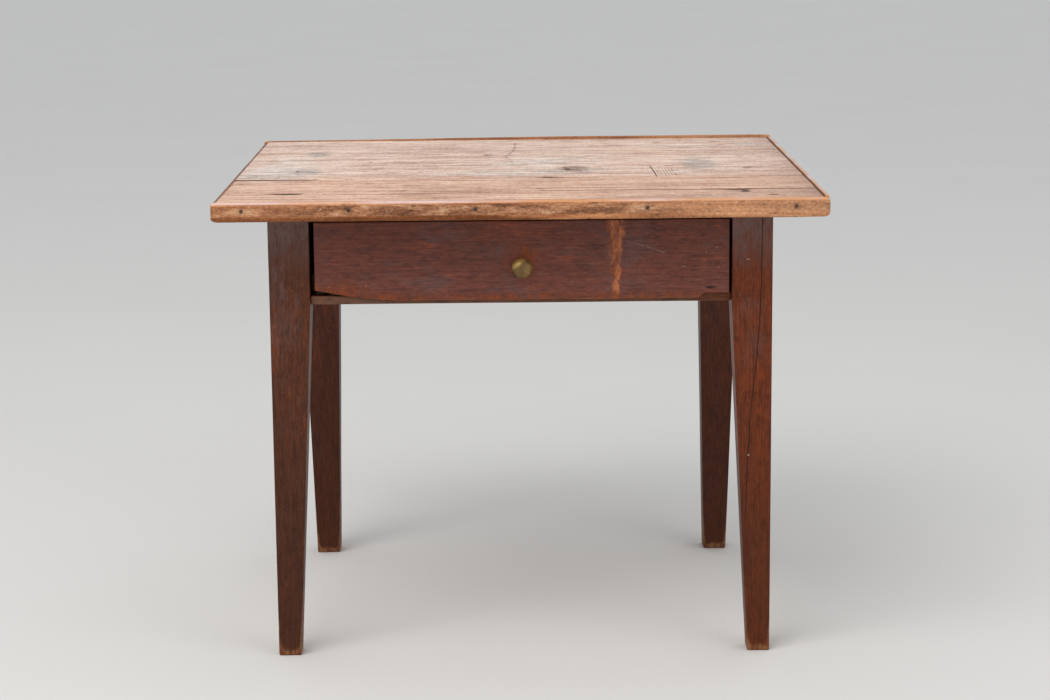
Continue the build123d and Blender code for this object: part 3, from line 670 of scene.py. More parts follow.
def leg_marks(crack_path):
    """Wood darkened towards the foot by painted shade, and a drying crack where a path is given."""

    def marks(f, place, mottle, colour):
        x, y, z = f.split()
        # Painted shade: the wood is darkened towards the foot.
        colour = f.mix(f.ease(z, 0.42, 0.12, 0.0, 0.4), colour, (0.03, 0.007, 0.001))
        sooty = f.times(f.ease(z, 0.45, 0.53), f.ease(mottle, 0.35, 0.6, 0.3, 1.0))
        colour = f.tint(colour, sooty, 0.8, (0.195, 0.126, 0.116))
        if crack_path:
            route = f.curve(z, crack_path)
            wobble = f.times(f.minus(f.noise(place, 120.0, 3.0), 0.5), 1.6 * MM)
            away = f.off(x, f.plus(route, wobble))
            crack = f.times(f.ease(away, 1.0 * MM, 0.35 * MM), f.ease(z, 0.10, 0.2))
            crack = f.times(crack, f.ease(y, -0.236, -0.240))
            colour = f.tint(colour, crack, 0.85, (0.022, 0.008, 0.006))
            for at_x, at_z, wide, tall in LEG_DINGS:
                ding = near(f, x, z, at_x, at_z, wide * MM, tall * MM)
                colour = f.tint(colour, ding, 0.6, (0.42, 0.30, 0.24))
        return colour

    return marks


TOP_Z = float(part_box("top_board_1")[1][Z])
SCRATCH = [   # across the top: y + 0.4, x + 0.1
    (0.05, 0.088), (0.28, 0.088), (0.45, 0.092), (0.51, 0.084), (0.572, 0.0925), (0.675, 0.0965),
    (0.73, 0.0965),
]
CRACK = [   # down the right front leg: z, x
    (0.0, 0.2625), (0.14, 0.2636), (0.23, 0.266), (0.30, 0.270), (0.356, 0.2756), (0.42, 0.2796),
    (0.53, 0.281),
]

FINISHES = {
    "top": pine_top(),
    "lipping": lipping_pine(),
    "drawer_face": stained(
        "drawer_stain", X, (0.145, 0.050, 0.038), (0.180, 0.056, 0.036), (0.086, 0.032, 0.027),
        drawer_marks,
    ),
    "leg_left": stained(
        "leg_stain_brown", Z, (0.084, 0.028, 0.015), (0.100, 0.029, 0.012), (0.044, 0.015, 0.009),
        leg_marks(None),
    ),
    "leg_right": stained(
        "leg_stain_red", Z, (0.128, 0.030, 0.0100), (0.160, 0.033, 0.0085), (0.064, 0.015, 0.006),
        leg_marks(CRACK),
    ),
    "leg_rear": stained(
        "leg_stain_dark", Z, (0.078, 0.024, 0.012), (0.094, 0.025, 0.011), (0.041, 0.013, 0.008),
        leg_marks(None),
    ),
    "rail_x": stained("rail_stain", X, (0.120, 0.040, 0.020), (0.150, 0.047, 0.019), (0.065, 0.021, 0.011)),
    "rail_y": stained("apron_stain", Y, (0.090, 0.030, 0.018), (0.11, 0.033, 0.016), (0.045, 0.015, 0.010)),
    "bare_x": bare("bare_wood_across", X),
    "bare_y": bare("bare_wood_along", Y),
    "brass": old_brass(),
    "iron": dull_iron(),
}

# ------------------------------------------------------------------ the top

BOARD_NAMES = [f"top_board_{i}" for i in range(1, 6)]

# pith of each board across the grain and below the surface, and its ring width
BOARD_RINGS = [
    ((-0.50, 0.46), 8.5 * MM, 0.004), ((0.14, 0.42), 9.0 * MM, 0.005),
    ((0.015, 0.505), 6.5 * MM, 0.024), ((0.40, 0.44), 8.0 * MM, 0.008),
    ((0.46, 0.42), 8.0 * MM, 0.006),
]
# how far each board lies below the highest one, at stated places along it
BOARD_SINK = [
    ((-0.35, -0.06, 0.1, 0.35), (0.35, 0.4, 0.6, 0.7)),
    ((-0.35, -0.25, -0.21, -0.1, 0.05, 0.35), (1.1, 1.0, 0.25, 0.2, 0.3, 0.25)),
    ((-0.35, 0.35), (0.1, 0.1)),
    ((-0.35, -0.2, 0.0, 0.35), (0.1, 0.0, 0.0, 0.1)),
    ((-0.35, 0.0, 0.35), (0.0, 0.1, 0.0)),
]
KNOTS = [   # x, y, half width, half depth, strength, in metres
    (0.068, -0.024, 0.024, 0.038, 0.85), (-0.273, -0.035, 0.012, 0.028, 0.7),
    (-0.041, 0.128, 0.009, 0.018, 0.75), (0.285, 0.095, 0.012, 0.022, 0.4),
    (0.030, 0.160, 0.014, 0.022, 0.4), (0.282, -0.036, 0.008, 0.011, 0.9),
    (-0.180, -0.017, 0.009, 0.008, 0.6), (-0.122, -0.052, 0.006, 0.008, 0.6),
    (-0.254, 0.150, 0.006, 0.014, 0.6), (0.117, 0.256, 0.008, 0.006, 0.7),
    (0.187, 0.262, 0.009, 0.008, 0.7), (0.267, 0.268, 0.012, 0.008, 0.8),
    (-0.202, 0.236, 0.010, 0.008, 0.5), (0.325, 0.225, 0.006, 0.010, 0.5),
    (0.089, 0.166, 0.007, 0.010, 0.5),
]
DARK_PITS = [   # x, y, half width, half depth, depth in millimetres
    (-0.268, -0.249, 0.015, 0.0080, 1.6), (-0.290, -0.2455, 0.012, 0.004, 0.8),
    (0.260, -0.260, 0.0055, 0.0075, 1.4), (0.252, -0.2475, 0.018, 0.003, 0.7),
    (0.289, -0.294, 0.009, 0.004, 1.0), (0.036, -0.114, 0.011, 0.005, 1.2),
    (0.046, -0.1165, 0.020, 0.0025, 0.6), (-0.247, -0.113, 0.005, 0.004, 0.8),
    (0.060, -0.035, 0.006, 0.014, 0.7), (0.075, -0.045, 0.010, 0.005, 0.5),
    (0.057, -0.012, 0.004, 0.012, 0.5), (-0.275, -0.028, 0.004, 0.012, 0.7),
]
GREY_PATCHES = [   # x, y, half width, half depth, strength, in metres
    (-0.300, -0.050, 0.060, 0.085, 0.72), (-0.02, -0.075, 0.13, 0.040, 0.42),
    (-0.29, 0.10, 0.06, 0.07, 0.38), (0.06, 0.07, 0.10, 0.07, 0.30),
    (0.190, -0.07, 0.025, 0.05, 0.24), (0.235, -0.05, 0.03, 0.06, 0.20),
    (0.32, 0.235, 0.05, 0.035, 0.45), (0.0, 0.02, 0.08, 0.05, 0.35),
]
BLUE_PATCHES = [   # the same
    (-0.262, -0.040, 0.028, 0.050, 0.50), (-0.262, 0.150, 0.022, 0.050, 0.52),
    (0.072, -0.050, 0.060, 0.050, 0.45), (0.226, 0.020, 0.034, 0.090, 0.56),
    (0.092, 0.110, 0.035, 0.030, 0.30), (-0.325, -0.085, 0.03, 0.02, 0.4),
    (0.31, -0.06, 0.04, 0.02, 0.25),
]
# dirt in each joint, at stated places along it: the fourth and fifth joints are nearly closed
JOINT_DIRT = [
    ((-0.35, -0.33, -0.20, -0.05, 0.08, 0.20, 0.35), (0.6, 1.0, 0.9, 1.1, 1.2, 1.4, 1.2)),
    (
        (-0.35, -0.262, -0.250, -0.10, -0.03, 0.10, 0.2, 0.30, 0.35),
        (1.4, 1.3, 0.45, 0.5, 0.85, 0.9, 0.45, 0.8, 0.9),
    ),
    ((-0.35, -0.25, -0.22, 0.0, 0.02, 0.35), (0.1, 0.2, 0.7, 0.65, 0.3, 0.4)),
    ((-0.35, -0.18, -0.1, 0.08, 0.12, 0.3, 0.35), (0.9, 0.8, 0.4, 0.45, 0.6, 0.75, 0.5)),
]
SCORED_BOARD = 2
SCORED_X = (0.1600, 0.2010)
SCORES = [(0.1655 + 4.0 * MM * i, 1.0 if i == 0 else 0.68) for i in range(7)]
SCORE_Y = (-0.132, 0.000)


def score_depth(points):
    """Seven knife scores across the grain, side by side: the first is deep, the rest are light."""
    depth = np.zeros(len(points))
    middle = (SCORE_Y[0] + SCORE_Y[1]) / 2
    for n, (x, strength) in enumerate(SCORES):
        line = x - 0.02 * (points[:, Y] - middle)
        start = SCORE_Y[0] + (0.0 if n == 0 else 0.006 * (n % 3 + 1))
        end = SCORE_Y[1] - (0.0 if n == 0 else 0.011 * ((n * 2) % 3))
        length = ease(points[:, Y], start, start + 0.012) * ease(-points[:, Y], -end, -end + 0.012)
        width = 1.0 * MM if n == 0 else 0.55 * MM
        depth += strength * length * np.exp(-((points[:, X] - line) / width) ** 2)
    return depth


def bulge(points):
    """Rings pushed aside by the knots: a sum of patches one and a half times each knot's size."""
    total = np.zeros(len(points))
    for x, y, wide, deep, strength in KNOTS:
        total += 3.6 * strength * min(deep / 0.02, 1.6) * spot(points, x, y, 2.4 * wide, 1.5 * deep)
    return total


def board(index):
    """One board of the top: a block with rubbed joints, sunk a little, dented and scored."""
    name = BOARD_NAMES[index]
    low, high = corners(name)
    scored = np.arange(*SCORED_X, 0.45 * MM) if index == SCORED_BOARD else ()
    xs = planes(low[X], high[X], 3.0 * MM, 2.5 * MM, extra=scored)
    ys = planes(low[Y], high[Y], 2.6 * MM, 2.2 * MM)
    zs = planes(low[Z], high[Z], 7.0 * MM, 2.2 * MM)
    points, quads = carve(xs, ys, zs)
    flat = points.copy()
    seed = 40 + 10 * index
    radius = MM * np.clip(1.0 + 0.8 * rough_noise(points, (0.05, 0.01, 0.01), seed), 0.35, 2.0)
    points = round_over(points, low, high, radius)
    up = ease(flat[:, Z], high[Z] - 3 * MM, high[Z] - 1 * MM)
    places, depths = BOARD_SINK[index]
    sink = MM * np.interp(flat[:, X], places, depths)
    sink += MM * 0.35 * (0.5 + 0.5 * rough_noise(flat, (0.16, 0.05, 0.05), seed + 3))
    sink += MM * 0.10 * (0.5 + 0.5 * grid_noise(flat, (0.03, 0.006, 0.01), seed + 7))
    pits = sum(depth * spot(flat, x, y, wide, deep) for x, y, wide, deep, depth in DARK_PITS)
    sink += MM * pits
    if index == SCORED_BOARD:
        sink += MM * 0.9 * score_depth(flat)
    points[:, Z] -= up * sink

    pith, spacing, wander = BOARD_RINGS[index]
    phase = rings(flat, X, pith, spacing, seed, wander) + bulge(flat)
    knot = sum(strength * spot(flat, x, y, wide, deep) for x, y, wide, deep, strength in KNOTS)
    dirt_and_shade = np.clip(pits, 0, 1.4) * 1.25
    joints = [float(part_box(n)[1][Y]) for n in BOARD_NAMES[:-1]]
    for joint, (places, amounts) in zip(joints, JOINT_DIRT):
        amount = np.interp(flat[:, X], places, amounts)
        dirt_and_shade += amount * fade(np.abs(flat[:, Y] - joint), 1.5 * MM)
    if index == SCORED_BOARD:
        dirt_and_shade += 1.1 * score_depth(flat)
    ends = np.minimum(flat[:, X] - low[X], high[X] - flat[:, X])
    dirt_and_shade += 0.55 * fade(ends, 0.8 * MM) + 0.6 * fade(flat[:, X] - low[X], 1.8 * MM)
    # Painted shade: a dark band along the foot of the rear lipping, which stands proud of the boards.
    dirt_and_shade += 0.5 * fade(np.abs(flat[:, Y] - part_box(BOARD_NAMES[-1])[1][Y]), 2.5 * MM)
    dark = 0.55 * fade(high[X] - flat[:, X], 28 * MM) + 0.25 * fade(flat[:, X] - low[X], 12 * MM)
    dark += 0.4 * ease(flat[:, X], 0.05, 0.30) * ease(-flat[:, Y], 0.235, 0.25)
    dark += 0.35 * fade(high[X] - flat[:, X], 70 * MM) * (0.5 + rough_noise(flat, (0.1, 0.02, 0.02), 5))
    grey = sum(s * spot(flat, x, y, w, d) for x, y, w, d, s in GREY_PATCHES)
    blue = sum(s * spot(flat, x, y, w, d) for x, y, w, d, s in BLUE_PATCHES)
    honey = ease(-flat[:, Y], 0.08, 0.13)
    fields = dict(ring=phase, knot=knot, dirt_and_shade=dirt_and_shade, dark=dark, grey=grey, blue=blue, honey=honey)
    fields["lot"] = 0.31 * index
    make_piece(
        f"worn_{name}", points, quads, FINISHES["top"], "frame", [name], fields,
    )


def strip(node, outer, nosing, seed, drop=0.0, end_round=0.0):
    """A lipping: a long block whose outer face runs into rounded edges above and below.

    outer is the axis and side of its outer face. Its inner edges stay nearly sharp;
    the outer ones and the ends are quarter ellipses of the nosing size, changed by
    noise. drop lowers its upper part towards the left end, and end_round, from 0 to
    1, rounds the inner edges near the ends as well.
    """
    low, high = corners(node)
    axis, side = outer
    length_axis = Y if axis == X else X
    steps = {length_axis: 2.6 * MM, axis: 2.0 * MM, Z: 1.5 * MM}
    crowd = {length_axis: 7.0 * MM, axis: 4.0 * MM, Z: 5.2 * MM}
    points, quads = carve(*[planes(low[i], high[i], steps[i], crowd[i]) for i in (X, Y, Z)])
    flat = points.copy()
    depth = (flat[:, axis] - low[axis]) if side > 0 else (high[axis] - flat[:, axis])
    outside = ease(depth / (high[axis] - low[axis]), 0.35, 0.6)
    to_end = np.minimum(flat[:, length_axis] - low[length_axis], high[length_axis] - flat[:, length_axis])
    outside = np.maximum(outside, end_round * ease(-to_end, -13 * MM, -7 * MM))
    size = np.full(3, 0.012)
    size[length_axis] = 0.05
    wave = 1.0 + 0.35 * rough_noise(flat, size, seed)
    rounding = 0.5 * MM + outside * (nosing - 0.5 * MM) * wave
    radius = np.stack([rounding] * 3, axis=1)
    radius[:, length_axis] *= 1.7
    points = round_over(points, low, high, radius)
    points = rub(points, quads, 0.5 * MM, size * (1.0, 1.0, 0.5), seed + 4)
    share = (flat[:, Z] - low[Z]) / (high[Z] - low[Z])
    if drop:
        points[:, Z] -= drop * ease(-flat[:, X], -0.1, 0.34) * share
    middle = ease(share, 0.22, 0.30) * ease(-share, -0.90, -0.80)
    pith = (0.62, 0.50) if axis == Y else (0.55, 0.5)
    # Darker at the inner face, against the boards: dirt in the joint, and painted shade in the gap there,
    # strongest on the side lippings.
    inner_dirt_and_shade = 0.3 * (1 - outside)
    if axis == X:
        inner_dirt_and_shade = 0.6 * (1 - outside) * ease(-depth, -1.2 * MM, -0.4 * MM)
    fields = dict(
        ring=rings(flat, length_axis, pith, 2.6 * MM, seed), patina=middle * outside, dirt_and_shade=inner_dirt_and_shade,
        under=ease(-share, -0.34, -0.24) * outside, lot=seed * 0.17,
    )
    return points, quads, flat, fields


def nail_marks(points, flat, fields, places, axis, side):
    """Craters and black stains round nail heads on a lipping's outer face."""
    other = Y if axis == X else X
    for along_at, z in places:
        far2 = ((flat[:, other] - along_at) / (3.0 * MM)) ** 2 + ((flat[:, Z] - z) / (3.4 * MM)) ** 2
        points[:, axis] -= side * 0.9 * MM * np.exp(-far2)
        fields["dirt_and_shade"] = fields["dirt_and_shade"] + 0.75 * np.exp(-far2)


NAIL_X_FRONT = (-0.315, -0.194, -0.051, 0.143, 0.311)
NAIL_X_BACK = (-0.306, -0.160, 0.012, 0.171, 0.309)
NAIL_Y_SIDE = (-0.292, -0.186, -0.058, 0.096, 0.268)
NAIL_Z = TOP_Z - 10.5 * MM
NAIL_Z_SIDE = TOP_Z - 12 * MM


def add_strip(node, axis, side, nosing, seed, nail_at, nail_z, worn, drop=0.0, dark=0.0):
    """Builds a lipping with its nail holes.

    worn is how pale its upper edge is made, by rubbed wear and a painted highlight,
    and dark how much darker its outer face is made.
    """
    points, quads, flat, fields = strip(node, (axis, side), nosing, seed, drop, 1.0 if axis == Y else 0.0)
    nail_marks(points, flat, fields, [(n, nail_z) for n in nail_at], axis, side)
    box = corners(node)
    high = box[1]
    # A pale upper edge: rubbed wear and a painted highlight.
    fields["worn"] = worn * ease(flat[:, Z], high[Z] - 4.5 * MM, high[Z] - 1.5 * MM)
    from_face = np.abs(flat[:, axis] - box[(side + 1) // 2][axis])
    fields["dirt_and_shade"] = fields["dirt_and_shade"] + dark * (0.35 + 0.65 * ease(-from_face, -3.5 * MM, -1.8 * MM))
    make_piece(
        f"worn_{node}", points, quads, FINISHES["lipping"], "frame", [node], fields,
    )


def nails(name, node, heads, axis, side):
    """Hand-made nails: a domed, lopsided head on a square shank, for each place in turn."""
    all_points, all_quads, count = [], [], 0
    rng = np.random.default_rng(len(heads) + 7 * axis + side)
    small = 1.0 if axis == Y else 0.72
    wide, tall, thick, reach = 2.3 * MM * small, 2.6 * MM * small, 1.4 * MM, 24 * MM
    shank = 1.1 * MM * small
    parts = (   # half width, half height, start, end, edge radius, step along the nail
        (wide, tall, 0.0, thick, 1.2 * MM, 1.2 * MM),
        (shank, shank, thick * 0.7, reach, 0.3 * MM, 6 * MM),
    )
    other = Y if axis == X else X
    turns_over = (side > 0) != (axis == X)
    for head in heads:
        for half_a, half_b, start, end, radius, step in parts:
            lo = np.array([-half_a, start, -half_b])
            hi = np.array([half_a, end, half_b])
            steps = (1.2 * MM, step, 1.2 * MM)
            cuts = [planes(lo[i], hi[i], steps[i], radius) for i in (X, Y, Z)]
            points, quads = carve(*cuts)
            points = round_over(points, lo, hi, radius)
            turn = rng.uniform(-0.5, 0.5)
            a, b = points[:, X].copy(), points[:, Z].copy()
            points[:, X] = a * math.cos(turn) - b * math.sin(turn)
            points[:, Z] = a * math.sin(turn) + b * math.cos(turn)
            depth = points[:, Y].copy()
            moved = np.empty_like(points)
            moved[:, axis] = head[axis] - side * depth
            moved[:, other] = head[other] + points[:, X]
            moved[:, Z] = head[Z] + points[:, Z]
            all_points.append(moved)
            all_quads.append((quads[:, ::-1] if turns_over else quads) + count)
            count += len(points)
    points, quads = np.concatenate(all_points), np.concatenate(all_quads)
    make_piece(name, points, quads, FINISHES["iron"], "frame", [node])


for index in range(len(BOARD_NAMES)):
    board(index)

add_strip("top_lipping_front", Y, -1, 4.6 * MM, 3, NAIL_X_FRONT, NAIL_Z, 0.8)
add_strip("top_lipping_back", Y, 1, 3.6 * MM, 5, NAIL_X_BACK, NAIL_Z, 0.45, 2.6 * MM)
add_strip("top_lipping_right", X, 1, 3.0 * MM, 11, NAIL_Y_SIDE, NAIL_Z_SIDE, 1.0)
add_strip("top_lipping_left_front", X, -1, 2.4 * MM, 13, NAIL_Y_SIDE[:2], NAIL_Z_SIDE, 0.2, 0.0, 0.9)
add_strip("top_lipping_left_rear", X, -1, 2.4 * MM, 17, NAIL_Y_SIDE[2:], NAIL_Z_SIDE, 0.2, 0.0, 0.9)

outer_low = corners("top_lipping_front")[0]
outer_high = corners("top_lipping_back")[1]
SUNK = 0.7 * MM
nails("front_nails", "lipping_nails_front", [(x, outer_low[Y] + SUNK, NAIL_Z) for x in NAIL_X_FRONT], Y, -1)
nails("back_nails", "lipping_nails_back", [(x, outer_high[Y] - SUNK, NAIL_Z) for x in NAIL_X_BACK], Y, 1)
side_heads = {s: [(s * (outer_high[X] - SUNK), y, NAIL_Z_SIDE) for y in NAIL_Y_SIDE] for s in (-1, 1)}
nails("right_nails", "lipping_nails_sides", side_heads[1], X, 1)
nails("left_nails", "lipping_nails_sides", side_heads[-1], X, -1)

# ------------------------------------------------------------------ legs

SHOULDER = float(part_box("front_rail_lower")[0][Z])
FRONT_FOOT = 27.0 / 48.0   # size at the floor over size at the apron
REAR_FOOT_X = (12.5 * MM, 31.0 * MM)   # how far the outer face moves in, and the width at the floor
REAR_FOOT_Y = 31.0 / 48.5


def leg(node, finish, seed):
    """A leg: a square block with eased edges, whose sections shrink below the apron.

    Below the shoulder each section is scaled towards the faces that stay upright, in
    proportion to the distance from the shoulder.
    """
    low, high = corners(node)
    side = 1 if low[X] > 0 else -1
    front = low[Y] < 0
    cuts = [planes(low[i], high[i], 4 * MM, 3.0 * MM, [SHOULDER] if i == Z else ()) for i in (X, Y)]
    cuts.append(planes(low[Z], high[Z], 3.6 * MM, 5.0 * MM))
    points, quads = carve(*cuts)
    flat = points.copy()
    gap = edge_gap(flat, low, high)
    foot = ease(-flat[:, Z], -0.05, 0.0)
    wave = rough_noise(flat, (0.012, 0.012, 0.07), seed)
    radius = MM * np.clip(1.7 + 0.7 * wave + foot * (1.2 + 1.0 * wave), 0.6, 4.0)
    points = round_over(points, low, high, radius)
    points = rub(points, quads, 0.5 * MM, (0.03, 0.03, 0.12), seed + 3)
    below = np.clip((SHOULDER - points[:, Z]) / SHOULDER, 0.0, 1.0)
    outer = side * max(abs(low[X]), abs(high[X]))
    if front:
        shrink = 1.0 - below * (1.0 - FRONT_FOOT)
        points[:, X] = outer + (points[:, X] - outer) * shrink
        points[:, Y] = low[Y] + (points[:, Y] - low[Y]) * shrink
    else:
        inset, foot_wide = REAR_FOOT_X
        narrow = 1.0 - below * (1.0 - foot_wide / (high[X] - low[X]))
        points[:, X] = outer - side * inset * below + (points[:, X] - outer) * narrow
        points[:, Y] = high[Y] + (points[:, Y] - high[Y]) * (1.0 - below * (1.0 - REAR_FOOT_Y))
    bottom = fade(np.clip(flat[:, Z], 0, 1), 15 * MM)
    side_edges = fade(gap, 4.5 * MM) * ease(-flat[:, Z], -0.12, -0.01)
    worn = 0.62 * bottom + 0.85 * side_edges + 0.42 * fade(gap, 0.9 * MM)
    dusty = 0.5 * fade(np.clip(flat[:, Z], 0, 1), 22 * MM) * (0.4 if front else 1.0)
    centre = (low + high) / 2
    phase = rings(flat, Z, (centre[X] - side * 0.05, centre[Y] + 0.07), 2.3 * MM, seed, 0.01)
    fields = dict(ring=phase, worn=worn, dusty=dusty, lot=seed * 0.13)
    make_piece(
        f"worn_{node}", points, quads, FINISHES[finish], "frame", [node], fields,
    )


leg("leg_front_left", "leg_left", 21)
leg("leg_front_right", "leg_right", 24)
leg("leg_rear_left", "leg_rear", 27)
leg("leg_rear_right", "leg_rear", 31)

# ------------------------------------------------------------------ plain boards


def plain_board(
    node, low, high, axis, finish, body, slot, seed, radius=0.9,
    removed=(), stops=((), (), ()), bend=None, step=5.0, marks=None,
):
    """A sawn and planed board: a block with eased edges and slightly uneven faces.

    radius and step are in millimetres.
    """
    cuts = [planes(low[i], high[i], step * MM, 2.0 * radius * MM, stops[i]) for i in (X, Y, Z)]
    points, quads = carve(*cuts, removed)
    flat = points.copy()
    size = np.full(3, 0.012)
    size[axis] = 0.06
    wave = rough_noise(flat, size, seed)
    points = round_over(points, low, high, MM * np.clip(radius * (1 + 0.5 * wave), 0.25, 3.0))
    points = rub(points, quads, 0.3 * MM, size * 2.5, seed + 2)
    if bend:
        points = bend(points, flat)
    worn = 0.45 * fade(edge_gap(flat, low, high), 1.2 * MM)
    centre = (low + high) / 2
    pith = [centre[i] + 0.06 for i in (X, Y, Z) if i != axis]
    fields = dict(ring=rings(flat, axis, pith, 2.8 * MM, seed), worn=worn, lot=seed * 0.19)
    fields.update(marks(flat, fields) if marks else {})
    make_piece(f"worn_{node}", points, quads, FINISHES[finish], body, [node], fields)


def dusty_front(flat, fields):
    """Dust on the front of a rail, fading out near its right end."""
    face = -flat[:, Y].min()
    front = ease(-flat[:, Y], face - 4 * MM, face)
    return dict(dusty=0.52 * ease(-flat[:, X], -0.205, -0.19) * front)


def shade_where_laid_bare(flat, fields):
    """Painted shade on the part of a drawer side that the worn corner of the front lays bare."""
    laid_bare = ease(-flat[:, Y], 0.200, 0.215) * ease(-flat[:, Z], -0.449, -0.446)
    return dict(worn=fields["worn"] + 1.2 * laid_bare)


leg_back = float(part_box("leg_front_left")[1][Y])
leg_front = float(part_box("leg_rear_left")[0][Y])
leg_in_front = float(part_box("leg_front_right")[0][X])
leg_in_rear = float(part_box("leg_rear_right")[0][X])

for name in ("side_apron_left", "side_apron_right"):
    low, high = corners(name)
    low[Y], high[Y] = leg_back, leg_front
    plain_board(name, low, high, Y, "rail_y", "frame", "dark_stained_wood", 41 + len(name))
low, high = corners("rear_apron")
low[X], high[X] = -leg_in_rear, leg_in_rear
plain_board("rear_apron", low, high, X, "rail_x", "frame", "dark_stained_wood", 47)
slots = {part["node"]: part["material_slot"] for part in frame["record"]["subparts"]}
for name, radius in (("front_rail_lower", 1.4), ("front_rail_upper", 0.8)):
    low, high = corners(name)
    low[X], high[X] = -leg_in_front, leg_in_front
    plain_board(
        name, low, high, X, "rail_x", "frame", slots[name], 53 + len(name), radius, marks=dusty_front,
    )
for part in ("runner", "guide", "kicker"):
    for hand in ("left", "right"):
        name = f"drawer_{part}_{hand}"
        seed = 61 + 3 * len(part) + len(hand)
        plain_board(name, *corners(name), Y, "bare_y", "frame", "bare_wood", seed)

# ------------------------------------------------------------------ drawer

face_low, face_high = corners("drawer_front")
side_box = {h: corners(f"drawer_side_{h}") for h in ("left", "right")}
bottom_low, bottom_high = corners("drawer_bottom_front")
back_low, back_high = corners("drawer_back")
LIP_BACK = face_low[Y] + 6.5 * MM
LIP_BROKEN_X = face_high[X] - 29.5 * MM
GROOVE = 4 * MM
HOUSING = 3 * MM
WORN_CORNER = (   # the lip's lower edge at its worn left end: x, z
    (-0.2415, -0.2325, -0.2045, -0.1745, -0.1505),
    (0.4429, 0.4413, 0.4359, 0.4321, 0.4299),
)
SIDE_Z = side_box["left"][0][Z]
TAIL_TIP = side_box["left"][0][Y]
TAIL_ROOT = face_high[Y]
TAIL_PITCH = (side_box["left"][1][Z] - SIDE_Z - 14 * MM) / 3
TAIL_MIDDLES = [SIDE_Z + 12 * MM + TAIL_PITCH * (i + 0.5) for i in range(3)]
TAIL_TIP_HALF = 0.37 * TAIL_PITCH
TAIL_ROOT_HALF = 0.28 * TAIL_PITCH
TAIL_EDGES = [m + s * TAIL_TIP_HALF for m in TAIL_MIDDLES for s in (-1, 1)]


def slope_tails(points, flat):
    """Slants the walls of tails and sockets: narrower at the root than at the tip.

    Each wall's height moves towards its tail's middle in proportion to the distance
    from the tip, and the move fades to nothing halfway to the next wall.
    """
    heights, moves = [SIDE_Z - 0.02], [0.0]
    half = TAIL_PITCH / 2
    for middle in TAIL_MIDDLES:
        heights += [middle - half, middle - TAIL_TIP_HALF, middle, middle + TAIL_TIP_HALF, middle + half]
        moves += [0.0, TAIL_TIP_HALF - TAIL_ROOT_HALF, 0.0, TAIL_ROOT_HALF - TAIL_TIP_HALF, 0.0]
    reach = np.clip((flat[:, Y] - TAIL_TIP) / (TAIL_ROOT - TAIL_TIP), 0.0, 1.0)
    reach *= flat[:, Y] < TAIL_ROOT + 0.01 * MM
    left_wall = side_box["left"][1][X] + 0.1 * MM
    right_wall = side_box["right"][0][X] - 0.1 * MM
    in_side = np.where(flat[:, X] < 0, flat[:, X] < left_wall, flat[:, X] > right_wall)
    points[:, Z] += np.interp(flat[:, Z], heights, moves) * reach * in_side
    return points


def drawer_face():
    """The drawer front, with its lip, sockets and groove, its worn corner and its broken one."""
    groove_low = (bottom_low[X], face_high[Y] - GROOVE, bottom_low[Z])
    groove_high = (bottom_high[X], 1.0, bottom_high[Z])
    removed = [
        ((-1, LIP_BACK, 0), (1, 1, SIDE_Z)),
        ((LIP_BROKEN_X, -1, 0), (1, LIP_BACK, SIDE_Z)),
        (groove_low, groove_high),
    ]
    for hand, (low, high) in side_box.items():
        inner = (-1, high[X]) if hand == "left" else (low[X], 1)
        for middle in TAIL_MIDDLES:
            socket_low = (inner[0], TAIL_TIP, middle - TAIL_TIP_HALF)
            socket_high = (inner[1], 1, middle + TAIL_TIP_HALF)
            removed.append((socket_low, socket_high))
    stops = (
        [side_box["left"][1][X], side_box["right"][0][X], LIP_BROKEN_X, bottom_low[X], bottom_high[X]],
        [LIP_BACK, TAIL_TIP, face_high[Y] - GROOVE],
        [SIDE_Z, bottom_low[Z], bottom_high[Z], *TAIL_EDGES],
    )
    cuts = [planes(face_low[i], face_high[i], 3.6 * MM, 1.6 * MM, stops[i]) for i in (X, Y, Z)]
    points, quads = carve(*cuts, removed)
    flat = points.copy()
    wave = rough_noise(flat, (0.05, 0.012, 0.012), 71)
    points = round_over(points, face_low, face_high, MM * np.clip(1.1 + 0.7 * wave, 0.4, 2.2))
    points = slope_tails(points, flat)
    points = rub(points, quads, 0.3 * MM, (0.12, 0.03, 0.03), 73)
    level = np.interp(flat[:, X], *WORN_CORNER)
    level += 0.5 * MM * (0.5 + 0.5 * rough_noise(flat, (0.03, 0.03, 0.03), 75))
    ceiling = bottom_low[Z] - 1 * MM
    squeeze = (ceiling - level) / (ceiling - face_low[Z])
    lifted = ceiling - (ceiling - points[:, Z]) * squeeze
    points[:, Z] = np.where(points[:, Z] < ceiling, lifted, points[:, Z])
    slant = ease(flat[:, X], 0.205, 0.2135) * (flat[:, X] < 0.2136)
    points[:, X] += slant * (points[:, Z] - SIDE_Z) * 1.1 * (points[:, Z] < SIDE_Z)
    gap = edge_gap(flat, face_low, face_high)
    worn = 0.55 * fade(gap, 1.1 * MM) + 0.35 * fade(flat[:, Z] - face_low[Z], 3 * MM)
    phase = rings(flat, X, (0.02, 0.36), 2.4 * MM, 77, 0.02)
    fields = dict(ring=phase, worn=worn, lot=1.9)
    make_piece(
        "worn_drawer_front", points, quads, FINISHES["drawer_face"], "drawer", ["drawer_front"],
        fields,
    )


